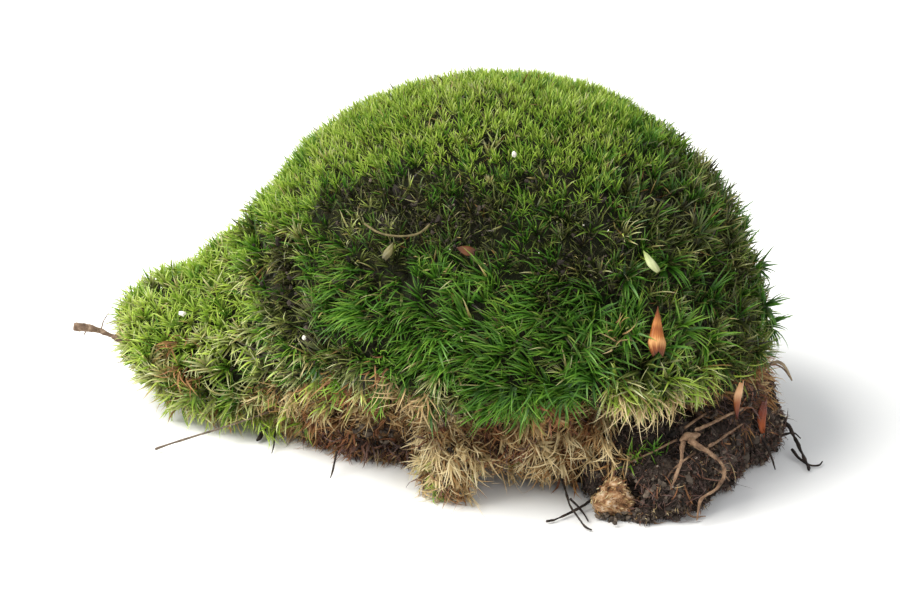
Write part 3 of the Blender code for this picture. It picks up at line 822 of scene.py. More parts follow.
def dressCushion():
    rng = np.random.default_rng(cushion["seed"])
    skin = remeshed(["moss_cushion"], "cushionSkin", cushion["skinVoxel"], 4)
    neighbours = searchTree(["dead_shoot_mat", "peat_lump"])
    shoots = growShoots(skin, neighbours, rng)
    leaves = leavesOf(shoots, rng)
    print(len(shoots["place"]), "shoots,", len(leaves["tint"]), "leaves")
    place = shoots["place"][leaves["owner"]]
    x, y, z = place.T
    region = np.select([x < -27, z > 57, (y > 6) & (x < 24), x > 34, z > 36],
                       [0, 1, 2, 3, 4], 5)
    names = ("tail_shoots", "crown_shoots", "back_shoots", "right_shoots", "upper_front_shoots",
             "lower_front_shoots")
    growOldLeaves(skin, neighbours, rng)
    growStars(rng)
    for i, name in enumerate(names):
        profile = shortProfile if name == "crown_shoots" else leafProfile
        piece = blades(name, chosen(leaves, region == i), profile, leafMaterial)
        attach(piece, "root")

    # humus crumbs caught between the shoots, most of them in the worn patches
    p, n = sprinkle(skin, rng, 26000)
    weights = kindWeights(p, n)
    kinds = list(shootKinds)
    worn = weights[:, kinds.index("dirty")] + 0.35 * weights[:, kinds.index("valley")]
    caught = (rng.random(len(p)) < 0.5 * worn + 0.012) & (gapTo(neighbours, p) > 1.0)
    p, n = p[caught], n[caught]
    size = np.clip(rng.lognormal(-1.35, 0.45, len(p)), 0.12, 0.8)
    tint = np.clip(0.62 * rng.beta(1.6, 3.0, len(p)), 0, 0.8)
    # a few tiny pale crumbs are painted glints: pale specks standing in for the sparkle on the dark worn patches
    pale = rng.random(len(p)) < 0.02
    tint = np.where(pale, 1.0, tint)
    size = np.where(pale, 0.16, size)
    deep = rng.uniform(1.4, 3.0, len(p))
    piece = crumbs("caught_crumbs", p - n * deep[:, None], size, tint, rng)
    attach(piece, "root")

    # Packed stems and old leaves inside the cushion: brown green, and painted near black as the
    # shade deep under the shoots.
    points, normals = readPoints(skin), readNormals(skin)
    sink = cushion["coreDepth"] + cushion["coreRoughness"] * lumpy(points, 2.2, 71)
    sink = sink * smoothStep(0.4, 4.5, gapTo(neighbours, points))
    writePoints(skin, points - normals * sink[:, None])
    skin.name = "cushion_core"
    skin.data.materials.clear()
    skin.data.materials.append(rough("shadedStems", ((0.3, "#12140a"), (0.5, "#20240f"),
                                                     (0.7, "#2f2a17")), 0.5, 0.9, 0.5, 2.0))
    skin.data.polygons.foreach_set("use_smooth", np.ones(len(skin.data.polygons), bool))
    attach(skin, "root")
    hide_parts("moss_cushion")
    return shoots


shoots = dressCushion()
print("cushion dressed")



# Dead shoots: the straw-brown mat that hangs out under the living ones.

mat = {
    "skinVoxel": 1.2,
    "candidates": 30000,
    "spacing": 1.4,
    "strands": 8,
    "shootSpacing": 2.3,
    "coreDepth": 2.4,
    "seed": 77,
}

# Dead tints, from 0 to 1: humus, purple brown, rust, brown, tan, straw, olive, green.
deadTints = {
    "body": ((0.00, "#28201c"), (0.12, "#5b4842"), (0.25, "#7a4c34"), (0.38, "#967048"),
             (0.52, "#b59a6a"), (0.66, "#d6bd88"), (0.78, "#e8d6a6"), (0.88, "#8c9240"),
             (1.00, "#67a236")),
    "tip": ((0.00, "#463b35"), (0.12, "#846c66"), (0.25, "#a8704c"), (0.38, "#bd945e"),
            (0.52, "#d8c090"), (0.66, "#eddcb0"), (0.78, "#f6ebc6"), (0.88, "#b8bf6a"),
            (1.00, "#a6d25c")),
    # rootShade is painted shade: the colour each dead leaf darkens to at its foot, deep in the mat
    "rootShade": "#6e5c46",
    "glow": 0.28,
}


def deadLeaf():
    # Dead leaf of moss: dry, papery and dull, bleached straw or stained brown by humus.
    material, tree = newMaterial("deadMossLeaf")
    uv = addNode(tree, "ShaderNodeUVMap", uv_map="OFBake")
    parts = addNode(tree, "ShaderNodeSeparateXYZ", {"Vector": uv.outputs["UV"]})
    body = addNode(tree, "ShaderNodeValToRGB", {"Fac": parts.outputs["X"]})
    setRamp(body, deadTints["body"])
    tip = addNode(tree, "ShaderNodeValToRGB", {"Fac": parts.outputs["X"]})
    setRamp(tip, deadTints["tip"])
    leaf = addNode(tree, "ShaderNodeMix",
                   {"Factor": parts.outputs["Y"], 6: body.outputs["Color"],
                    7: tip.outputs["Color"]}, data_type="RGBA")
    # painted shade: darker towards the dead leaf's foot, deep in the mat
    fromFoot = addNode(tree, "ShaderNodeMapRange",
                       {"Value": parts.outputs["Y"], "From Min": 0.0, "From Max": 0.4,
                        "To Min": 0.7, "To Max": 0.0})
    shaded = addNode(tree, "ShaderNodeMix",
                     {"Factor": fromFoot.outputs["Result"], 6: leaf.outputs[2],
                      7: linear(deadTints["rootShade"])},
                     data_type="RGBA", blend_type="MULTIPLY")
    skin = addNode(tree, "ShaderNodeBsdfPrincipled",
                   {"Base Color": shaded.outputs[2], "Roughness": 0.6, "IOR": 1.45,
                    "Specular IOR Level": 0.25})
    glow = addNode(tree, "ShaderNodeBsdfTranslucent", {"Color": shaded.outputs[2]})
    mixed = addNode(tree, "ShaderNodeMixShader",
                    {"Fac": deadTints["glow"], 1: skin.outputs[0], 2: glow.outputs[0]})
    addNode(tree, "ShaderNodeOutputMaterial", {"Surface": mixed.outputs[0]})
    return material


deadMaterial = deadLeaf()


def deadTint(p, rng):
    # where the mat is bleached, where it is stained, where it is darkened as painted shade, and where a green shoot
    # hangs in it
    x, y, z = p.T
    tint = 0.50 + 0.14 * lumpy(p, 6, 91) + 0.24 * lumpy(p, 2.6, 92)
    tint += 0.20 * blob(p, (1, -30, 5), (9, 9, 8))
    tint -= 0.33 * blob(p, (-12, -20, 4), (8, 10, 4.5))
    tint -= 0.20 * blob(p, (7, -31, 12), (8, 6, 4))
    tint -= 0.16 * blob(p, (20, -34, 15), (9, 6, 4))
    tint += 0.10 * blob(p, (34, -34, 18), (9, 8, 4))
    # darker by the right bracts: partly humus, partly painted shade in the recess between the cushion and the peat
    tint -= 0.55 * blob(p, (49, -28, 13), (12, 11, 6))
    tint += rng.normal(0, 0.09, len(p))
    tint = np.clip(tint, 0.02, 0.79)
    green = (blob(p, (14, -36, 15), (4.5, 5, 4)) + blob(p, (-2, -33, 2), (3.2, 3.5, 3.2))
             + 0.35 * blob(p, (-33, -6, 3), (5, 4, 3))) > 0.45 + 0.4 * rng.random(len(p))
    return np.where(green, 0.95, tint)


def matWear(p):
    # where the dead shoots have crumbled to humus: by the right bracts and low on the left
    return np.maximum(blob(p, (49, -28, 13), (12, 11, 6)), blob(p, (-14, -19, 4), (12, 9, 5)))


def underLip(p):
    # the shaded lip low in front, where the mat stands clear of the ground
    x, y, z = p.T
    return smoothStep(5, 8, x) * smoothStep(31, 27, x) * smoothStep(6.5, 3, z) * smoothStep(-20, -26, y)


def dressMat():
    rng = np.random.default_rng(mat["seed"])
    skin = remeshed(["dead_shoot_mat"], "matSkin", mat["skinVoxel"], 2)
    neighbours = searchTree(["moss_cushion", "peat_lump"])
    p, n = sprinkle(skin, rng, mat["candidates"])
    free = (gapTo(neighbours, p) > 0.7) & (p[:, 2] > 0.6) & (n[:, 2] > -0.9)
    p, n = p[free], n[free]
    kept = spacedOut(p, np.full(len(p), mat["spacing"]))
    p, n = p[kept], n[kept]
    worn = matWear(p)
    full = rng.random(len(p)) > 0.70 * worn + 1.1 * smoothStep(0.1, 0.7, lumpy(p, 2.8, 96)) \
        + 0.9 * underLip(p)
    p, n, worn = p[full], n[full], worn[full]
    length = (5.0 + 1.5 * lumpy(p, 5, 95)) * (1 - 0.5 * worn) * (1 - 0.5 * underLip(p))
    wisps = wispsOf(p, n, deadTint(p, rng) - 0.10, rng, mat["strands"], length, 0.5, 120, 0.30, 1.8)
    place = p[wisps["owner"]]
    for name, mask in (("front_dead_wisps", place[:, 1] < 0), ("back_dead_wisps", place[:, 1] >= 0)):
        piece = blades(name, chosen(wisps, mask), leafProfile, deadMaterial)
        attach(piece, "root")

    # the dead shoots themselves, limp and curled, each clump with its own stain
    kept = spacedOut(p, np.full(len(p), mat["shootSpacing"]))
    kept = kept[rng.random(len(kept)) > 0.8 * worn[kept]]
    p, n = p[kept], n[kept]
    size = len(p)
    swirl = np.stack([lumpy(p, 5, 24), lumpy(p, 5, 25), lumpy(p, 5, 26)], axis=1)
    lay = unit(1.3 * swirl + rng.normal(0, 0.35, (size, 3)) + np.array([0, 0, -0.5]))
    dead = {"place": p + n * rng.uniform(-0.4, 0.9, size)[:, None], "normal": n, "lay": lay,
            "axis": unit(n + 0.6 * lay + rng.normal(0, 0.3, (size, 3))),
            "tint": np.clip(deadTint(p, rng) + 0.02, 0.02, 0.99), "spread": np.full(size, 0.045),
            "length": np.full(size, 4.6), "splay": np.full(size, 42.0),
            "bend": rng.uniform(60, 130, size), "leaves": np.full(size, 17.0),
            "width": np.full(size, 0.46), "stem": np.full(size, 2.6), "star": np.full(size, 0.3),
            "comb": np.full(size, 1.2), "vigour": 1 + rng.normal(0, 0.18, size)}
    leaves = leavesOf(dead, rng)
    leaves["tint"] = np.clip(dead["tint"][leaves["owner"]]
                             + rng.normal(0, 0.05, len(leaves["tint"])), 0.01, 0.99)
    piece = blades("dead_shoot_leaves", leaves, leafProfile, deadMaterial)
    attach(piece, "root")

    # humus crumbs that cling to the dead shoots
    p, n = sprinkle(skin, rng, 16000)
    cling = (rng.random(len(p)) < 0.10 + 0.9 * matWear(p)) & (gapTo(neighbours, p) > 0.4)
    cling = cling & (p[:, 2] > 0.4)
    p, n = p[cling], n[cling]
    size = np.clip(rng.lognormal(-1.15, 0.45, len(p)), 0.15, 1.0)
    tint = np.clip(0.78 * rng.beta(1.6, 2.4, len(p)), 0, 0.85)
    deep = rng.uniform(0.2, 2.2, len(p)) * (1 - 0.45 * matWear(p)) + 2.0 * underLip(p)
    piece = crumbs("mat_crumbs", p - n * deep[:, None], size, tint, rng)
    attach(piece, "root")

    points, normals = readPoints(skin), readNormals(skin)
    sink = mat["coreDepth"] + 0.9 * lumpy(points, 2.4, 72) + 0.4 * lumpy(points, 1.1, 73)
    sink = (sink + 3.4 * underLip(points)) * (1 - 0.5 * matWear(points))
    sink = sink * smoothStep(0.3, 3.0, gapTo(neighbours, points))
    writePoints(skin, np.maximum(points - normals * sink[:, None], [-999, -999, 0.3]))
    skin.name = "mat_core"
    skin.data.materials.clear()
    skin.data.materials.append(rough("packedDeadStems", ((0.3, "#3a2a1e"), (0.5, "#65492f"),
                                                         (0.68, "#957650")), 0.6, 0.9, 0.5, 2.5))
    skin.data.polygons.foreach_set("use_smooth", np.ones(len(skin.data.polygons), bool))
    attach(skin, "root")
    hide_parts("dead_shoot_mat")


def dressSeams():
    # short dead leaves that hide where the cushion and the mat lie on what is under them
    rng = np.random.default_rng(52)
    solids = searchTree(["moss_cushion", "dead_shoot_mat", "peat_lump"])
    places = []
    ways = []
    for core, others in (("cushion_core", ["dead_shoot_mat", "peat_lump"]),
                         ("mat_core", ["moss_cushion", "peat_lump"])):
        p, n = sprinkle(bpy.data.objects[core], rng, 30000)
        gap = gapTo(searchTree(others), p)
        seam = (gap > 0.15) & (gap < 4.2) & (p[:, 2] > 0.8)
        p, n = p[seam], n[seam]
        outward = unit((p - [3, 2, 0]) * [1, 1, 0])
        beyond = p + 4.5 * outward
        shown = [solids.ray_cast(Vector(q), Vector(way))[0] is None
                 for q, way in zip(beyond, outward)]
        p, n = p[shown], n[shown]
        kept = spacedOut(p, np.full(len(p), 1.05))
        places.append(p[kept])
        ways.append(n[kept])
    p, n = np.concatenate(places), np.concatenate(ways)
    tint = deadTint(p, rng) - 0.10
    wisps = wispsOf(p, n, tint, rng, 5, np.full(len(p), 3.8), 0.5, 70, 0.36, 0.5)
    piece = blades("seam_wisps", wisps, leafProfile, deadMaterial)
    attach(piece, "root")


dressMat()
dressSeams()
print("dead shoots dressed")


# Fans of dead leaves that hang out of the mat and from under the living edge: the foot of each,
# the way it hangs, its tint, its length and its number of strands.
strawFans = (
    ((0, -32, 10), (-0.2, -0.5, -1), 0.68, 7.5, 34), ((2.5, -34.5, 8), (0, -0.5, -1), 0.74, 7.5, 34),
    ((5.5, -33.5, 9.5), (0.3, -0.6, -1), 0.66, 7, 30), ((-2, -27, 11.5), (-0.6, -0.6, -0.6), 0.62, 6, 24),
    ((8.5, -33, 7.5), (0.5, -0.6, -0.8), 0.60, 6, 24), ((15.5, -32, 13.5), (-0.1, -0.7, -0.9), 0.56, 6.5, 26),
    ((19, -32.5, 10), (0.2, -0.7, -0.8), 0.62, 6.5, 26), ((23, -32, 12), (0, -0.7, -0.8), 0.66, 6.5, 26),
    ((27, -32, 10), (0.1, -0.7, -0.9), 0.70, 6.5, 26), ((30.5, -32, 14.5), (0.2, -0.7, -0.8), 0.60, 6.5, 24),
    ((33, -38, 21.5), (0, -0.4, -1), 0.62, 7, 22), ((36, -37.5, 20), (0.1, -0.35, -1), 0.66, 7, 22),
    ((39, -37.5, 20.5), (0.2, -0.35, -1), 0.60, 6.5, 20), ((42.5, -36.5, 21), (0.4, -0.3, -0.9), 0.56, 6, 16),
    ((-9, -36, 24), (-0.5, -0.5, -0.8), 0.54, 5.5, 18), ((-6, -37.5, 21.5), (-0.2, -0.6, -0.9), 0.56, 6, 20),
    ((-2.5, -38.5, 22), (-0.1, -0.6, -0.9), 0.50, 6, 22), ((-19.5, -27, 21.5), (-0.6, -0.5, -0.6), 0.32, 5, 12),
    ((-16.5, -30, 19.5), (-0.4, -0.6, -0.8), 0.28, 5.5, 16), ((-24, -22, 17), (-0.4, -0.6, -0.8), 0.40, 5, 14),
    ((-13, -18, 10.5), (-0.2, -0.8, -0.6), 0.54, 5.5, 20), ((-21.5, -15.5, 9), (-0.2, -0.8, -0.6), 0.50, 5.5, 20),
    ((-28, -16, 11.5), (-0.5, -0.6, -0.7), 0.58, 5, 18), ((12.5, -31, 12), (0, -0.8, -0.5), 0.48, 5.5, 22),
    ((9.5, -31, 13), (0, -0.8, -0.6), 0.30, 5, 22), ((20.5, -40, 20), (0.1, -0.6, -0.9), 0.33, 5.5, 20),
    ((16.5, -40.5, 21), (0, -0.6, -0.9), 0.30, 5, 16), ((28, -33, 14), (0.1, -0.6, -0.9), 0.32, 5.5, 20),
    ((-0.5, -34, 4.5), (-0.1, -0.5, -1), 0.66, 5, 26), ((1.5, -35, 5), (0.1, -0.5, -1), 0.70, 5, 22),
    ((31, -37.5, 12.5), (0.1, -0.6, -0.9), 0.62, 6, 26), ((34, -37.5, 10.5), (0.2, -0.6, -0.9), 0.50, 5, 18),
    ((28, -35.5, 9), (-0.1, -0.7, -0.7), 0.58, 5.5, 24), ((32, -38, 9.5), (0.2, -0.7, -0.5), 0.44, 5, 22),
    ((29, -36, 14), (0, -0.7, -0.7), 0.40, 5, 20),
    ((-10.5, -36, 26.5), (-0.3, -0.8, -0.3), 0.30, 3.5, 14), ((-48.5, -4, 12), (-0.3, -0.9, 0.1), 0.34, 5.6, 20),
    ((-49.5, -2, 17), (-0.3, -0.9, 0.3), 0.31, 5.4, 20), ((-46, -4, 10), (-0.3, -0.9, 0.1), 0.28, 5.2, 16),
    ((32, -36, 34.5), (0, -0.8, 0.5), 0.42, 4.5, 10),
    ((14.5, -32, 9), (0.1, -0.8, -0.6), 0.20, 4.5, 22), ((1.5, -30, 12.5), (-0.5, -0.7, -0.2), 0.20, 4.5, 20),
    ((24, -31, 15), (0.1, -0.8, -0.3), 0.22, 4.5, 18), ((-9.5, -18, 3), (-0.1, -0.9, -0.3), 0.12, 4.5, 26),
    ((-13, -18, 4), (-0.3, -0.9, -0.2), 0.12, 4.5, 26), ((-17, -17.5, 4), (-0.4, -0.8, -0.2), 0.16, 4.5, 22),
    ((-2, -29, 9.5), (-0.7, -0.4, -0.4), 0.16, 4.5, 20), ((-6, -20, 3), (-0.2, -0.9, -0.2), 0.10, 4.5, 24),
)

# Green sprigs that stray from the edge: the foot, the way each points, tint, length, leaves.
sprigs = (
    ((15.5, -39.5, 22), (-0.1, -0.6, -1), 0.50, 6.5, 40), ((13, -39.5, 24), (-0.2, -0.7, -0.9), 0.48, 6.5, 36),
    ((17.5, -40, 24), (0.1, -0.7, -0.9), 0.54, 6.5, 34), ((0.5, -33.5, 4), (-0.7, -0.8, -0.3), 0.78, 3.6, 22),
    ((36, -38, 11.5), (0.2, -0.6, 0.8), 0.62, 4.2, 26), ((39, -37.5, 12.5), (-0.2, -0.6, 0.9), 0.56, 3.4, 16),
    ((-38, -3, 4), (-0.2, -0.9, -0.5), 0.79, 5, 26), ((-34.5, -6.5, 3.5), (0, -0.9, -0.5), 0.80, 5, 26),
    ((-31, -10, 3), (0.3, -0.9, -0.5), 0.78, 4.6, 22), ((-42, -1, 3.5), (-0.4, -0.9, -0.4), 0.77, 4.6, 22),
    ((-46, -0.5, 4), (-0.4, -0.9, -0.4), 0.86, 4.6, 22), ((-50, 1, 4), (-0.5, -0.8, -0.4), 0.76, 4.6, 22),
    ((-22, -25, 19), (-0.5, -0.8, -0.6), 0.87, 5.4, 20), ((-18, -28.5, 21), (-0.5, -0.8, -0.6), 0.66, 5.4, 22),
    ((-13.5, -32.5, 21.5), (-0.4, -0.8, -0.7), 0.89, 5.4, 22), ((-20.5, -25, 14.5), (-0.5, -0.8, -0.5), 0.90, 4.6, 18),
    ((-10, -35, 20.5), (-0.3, -0.8, -0.7), 0.62, 5.4, 20), ((-26, -19, 14), (-0.5, -0.8, -0.5), 0.89, 4.8, 20),
    ((-15.5, -29, 16), (-0.4, -0.8, -0.6), 0.91, 4.6, 16), ((-28.5, -15, 9), (-0.4, -0.9, -0.3), 0.86, 4.4, 16),
)


# Leaves that sprawl on the ground along the front edge: from and to which x (mm), how far
# apart, and the tints that take turns.
hems = {
    "ground_leaves": {"from": -51, "to": -25, "step": 1.5, "height": 4.2, "fall": -0.8,
                      "length": 5.0, "leaves": 16,
                      "tints": (0.87, 0.78, 0.93, 0.66, 0.88, 0.80, 0.95)},
    "ground_straws": {"from": -27, "to": -1, "step": 1.5, "height": 1.8, "fall": -0.25,
                      "length": 4.4, "leaves": 16,
                      "tints": (0.20, 0.48, 0.12, 0.34, 0.10, 0.56)},
}


def hemRows(plan):
    # a foot on the solids' front edge for each fan, found from in front
    tree = searchTree(["moss_cushion", "dead_shoot_mat"])
    rows = []
    tints = itertools.cycle(plan["tints"])
    for x in np.arange(plan["from"], plan["to"], plan["step"]):
        spot = tree.ray_cast(Vector((x, -70, plan["height"])), Vector((0, 1, 0)))[0]
        if spot:
            rows.append((spot[:], (0.4 * sin(7 * x) - 0.2, -1, plan["fall"]), next(tints),
                         plan["length"], plan["leaves"]))
    return rows


def fans(name, table, spread, turn, width, material, seed):
    rng = np.random.default_rng(seed)
    count = np.array([row[4] for row in table])
    owner = np.repeat(np.arange(len(table)), count)
    size = len(owner)
    way = unit(np.array([row[1] for row in table], float))[owner]
    start = way + spread * rng.normal(0, 1, (size, 3))
    bend = rng.normal(0, 0.8, (size, 3)) - np.array([0, 0, 0.5])
    run = np.array([row[3] for row in table])[owner] * rng.uniform(0.55, 1.1, size)
    strands = {"base": np.array([row[0] for row in table], float)[owner] - way * 1.2
               + rng.normal(0, 0.8, (size, 3)), "start": start, "bend": bend, "length": run,
               "turn": np.radians(turn) * np.abs(1 + rng.normal(0, 0.5, size)),
               "width": width * rng.uniform(0.7, 1.3, size), "twist": rng.normal(0, 1, size),
               "tint": np.clip(np.array([row[2] for row in table])[owner]
                               + rng.normal(0, 0.05, size), 0.01, 0.99)}
    piece = blades(name, strands, leafProfile, material)
    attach(piece, "root")


fans("straw_fans", strawFans, 0.5, 70, 0.34, deadMaterial, 15)
fans("green_sprigs", sprigs, 0.38, 35, 0.36, leafMaterial, 16)
fans("ground_leaves", hemRows(hems["ground_leaves"]), 0.45, 45, 0.42, leafMaterial,
     17)
fans("ground_straws", hemRows(hems["ground_straws"]), 0.5, 80, 0.36, deadMaterial,
     18)
print("fans and sprigs hung")


# Peat: dark crumbly humus with crumbs and fine rootlets.

peat = {
    "skinVoxel": 1.0,
    "crumbs": 7350,
    "bedCrumbs": 220,
    "fibrePlaces": 2600,
    "rootlets": 260,
    "seed": 12,
}

def peatSink(p, rootGap):
    # how deep the dressed peat lies under its solid: clods, a hollow under the mat, bared roots
    return (0.9 - 1.1 * lumpy(p, 4.2, 81) - 0.5 * lumpy(p, 1.5, 82)
            + 2.8 * blob(p, (40, -36.5, 14), (5.5, 5, 3.2)) + 3.0 * blob(p, (56, -34, 3), (7, 6, 5.5))
            + 2.2 * blob(p, (50, -39.5, 3.5), (6, 5, 4))
            - 0.9 * blob(p, (39, -41, 1), (6, 4, 2.5)) + 1.5 * np.exp(-(rootGap / 1.5) ** 2))


def dressPeat():
    rng = np.random.default_rng(peat["seed"])
    skin = remeshed(["peat_lump"], "peatSkin", peat["skinVoxel"], 2)
    neighbours = searchTree(["moss_cushion", "dead_shoot_mat"])
    roots = searchTree(["root_loop", "root_left_strand", "root_upper_strand",
                        "root_lower_strand", "right_root", "rotten_wood"])
    p, n = sprinkle(skin, rng, 40000)
    free = (gapTo(neighbours, p) > 0.7) & (p[:, 2] > 0.4)
    p, n = p[free], n[free]
    p = p - n * (peatSink(p, gapTo(roots, p)) - 0.3)[:, None]
    p[:, 2] = np.maximum(p[:, 2], 0.2)
    bare = gapTo(roots, p)
    # painted shade: crumbs and fibres are darkened in the hollow under the mat, where shade falls
    hollow = blob(p, (40, -35, 13), (6.5, 6, 3.6))
    order = rng.permutation(len(p))
    some = order[:peat["crumbs"]]
    size = np.clip(rng.lognormal(-1.35, 0.6, len(some)), 0.1, 1.3)
    clear = bare[some] > size * 0.8 + 0.15
    some, size = some[clear], size[clear]
    tint = np.clip(0.85 * rng.beta(1.6, 2.6, len(some)) + 0.10 * lumpy(p[some], 4, 13), 0, 0.9)
    # the crumbs are darkened in the hollow: painted shade
    tint = np.where(rng.random(len(some)) < 0.006, 0.97, tint * (1 - 0.85 * hollow[some]))
    spots = p[some] + n[some] * (size * 0.2)[:, None]
    bed = rng.normal(0, 1, (peat["bedCrumbs"], 3)) * [1.9, 1.1, 0.5] + [32.6, -39.4, 0.7]
    spots = np.vstack([spots, bed])
    size = np.concatenate([size, rng.uniform(0.3, 0.9, len(bed))])
    tint = np.concatenate([tint, rng.uniform(0.1, 0.7, len(bed))])
    piece = crumbs("peat_crumbs", spots, size * 0.7, tint, rng)
    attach(piece, "root")

    # matted fibres that hold the crumbs together
    some = order[-peat["fibrePlaces"]:]
    some = some[bare[some] > 0.5]
    tint = np.clip(0.04 + 0.07 * lumpy(p[some], 3, 14) + rng.gamma(1.0, 0.03, len(some)), 0, 0.14)
    tint = np.where(rng.random(len(some)) < 0.07, rng.uniform(0.42, 0.58, len(some)), tint)
    # the fibres are darkened in the hollow: painted shade
    tint = tint * (1 - 0.9 * hollow[some])
    fibres = wispsOf(p[some], n[some], tint, rng, 3, np.full(len(some), 1.8), 0.4, 130, 0.13, 0.5)
    piece = blades("peat_fibres", fibres, (0.8, 1.0, 0.8, 0.0), deadMaterial)
    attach(piece, "root")

    some = order[:peat["rootlets"]]
    size = len(some)
    along = unit(np.cross(n[some], rng.normal(0, 1, (size, 3))))
    threads = {"base": p[some] + n[some] * 0.2, "start": along + n[some] * 0.3,
               "bend": 0.6 * np.cross(n[some], along) - 0.8 * n[some],
               "length": rng.uniform(1.5, 6, size), "turn": rng.uniform(0.5, 1.8, size),
               "width": rng.uniform(0.14, 0.34, size), "twist": rng.normal(0, 1, size),
               "tint": np.clip(rng.gamma(2.0, 0.085, size), 0.01, 0.6)}
    piece = blades("peat_rootlets", threads, (0.8, 1, 0.9, 0.9, 0.8, 0.7, 0.5, 0.0), deadMaterial)
    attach(piece, "root")

    points, normals = readPoints(skin), readNormals(skin)
    sink = peatSink(points, gapTo(roots, points))
    writePoints(skin, np.maximum(points - normals * sink[:, None], [-999, -999, 0.0]))
    skin.name = "peat_core"
    skin.data.materials.clear()
    skin.data.materials.append(rough("peatSoil", ((0.30, "#1c1713"), (0.5, "#3a312a"),
                                                  (0.66, "#584b40"), (0.8, "#776754")),
                                     0.45, 0.95, 0.7, 1.6, detail=9))
    skin.data.polygons.foreach_set("use_smooth", np.ones(len(skin.data.polygons), bool))
    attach(skin, "root")
    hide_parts("peat_lump")


dressPeat()
print("peat dressed")


# Twigs, roots and stalks.

# Each: its material, how thick its knots are (mm), how long its grain is.
stems = {
    "left_twig": {"skin": "bark", "knots": 0.22, "lump": 1.6},
    "left_stalk": {"skin": "stalk", "knots": 0.06, "lump": 2.0, "slim": 0.06},
    "dome_stalk": {"skin": "oldStalk", "knots": 0.05, "lump": 2.0, "slim": 0.12},
    "root_loop": {"skin": "root", "knots": 0.16, "lump": 1.3, "slim": 0.14},
    "root_left_strand": {"skin": "root", "knots": 0.12, "lump": 1.2, "slim": 0.14},
    "root_upper_strand": {"skin": "root", "knots": 0.12, "lump": 1.2, "slim": 0.14},
    "root_lower_strand": {"skin": "root", "knots": 0.12, "lump": 1.2, "slim": 0.12},
    "right_root": {"skin": "paleRoot", "knots": 0.12, "lump": 1.2, "slim": 0.10},
    "right_twig": {"skin": "darkTwig", "knots": 0.18, "lump": 1.2, "slim": 0.10},
    "pale_twig": {"skin": "darkTwig", "knots": 0.12, "lump": 1.2, "slim": 0.08},
    "crossing_twig": {"skin": "darkTwig", "knots": 0.12, "lump": 1.2, "slim": 0.08},
}

stemSkins = {
    # thin bark of a dead twig, cracked and grey brown
    "bark": rough("deadTwigBark", ((0.3, "#3a2d25"), (0.5, "#755f4e"), (0.7, "#a8927c")),
                  0.9, 0.85, 0.15, 3.0),
    # dry grass stalk, smooth, with a dull brown skin
    "stalk": rough("dryStalk", ((0.3, "#453b32"), (0.5, "#6b5d50"), (0.7, "#91826f")),
                   0.7, 0.6, 0.06, 3.0),
    "oldStalk": rough("weatheredStalk", ((0.3, "#342c1b"), (0.5, "#5a5031"), (0.7, "#7a6f48")),
                      0.7, 0.7, 0.06, 3.0),
    # woody root, its thin skin rubbed brown
    "root": rough("rootSkin", ((0.3, "#453326"), (0.5, "#7d614a"), (0.7, "#a68a6e")),
                  0.8, 0.75, 0.12, 3.0),
    "paleRoot": rough("paleRootSkin", ((0.3, "#75644f"), (0.5, "#9f8c72"), (0.7, "#c9b89c")),
                      0.8, 0.75, 0.12, 3.0),
    # wet dark twig, nearly black
    "darkTwig": rough("darkTwigBark", ((0.3, "#15110f"), (0.5, "#2b231f"), (0.7, "#4b3d34")),
                      0.9, 0.8, 0.12, 3.0),
}


def dressStem(name, plan):
    obj = nodeCopy([name], name + "_skin")
    rounder = obj.modifiers.new("rounder", "SUBSURF")
    rounder.levels = 2
    settle(obj)
    points, normals = readPoints(obj), readNormals(obj)
    swell = plan["knots"] * (lumpy(points, plan["lump"], 5) + 0.5 * lumpy(points, 0.5, 6))
    swell = swell - plan.get("slim", 0)
    points = points + normals * swell[:, None]
    points[:, 2] = np.maximum(points[:, 2], 0.02)
    writePoints(obj, points)
    obj.data.materials.clear()
    obj.data.materials.append(stemSkins[plan["skin"]])
    obj.data.polygons.foreach_set("use_smooth", np.ones(len(obj.data.polygons), bool))
    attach(obj, "root")
    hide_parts(name)


for stemName, stemPlan in stems.items():
    dressStem(stemName, stemPlan)


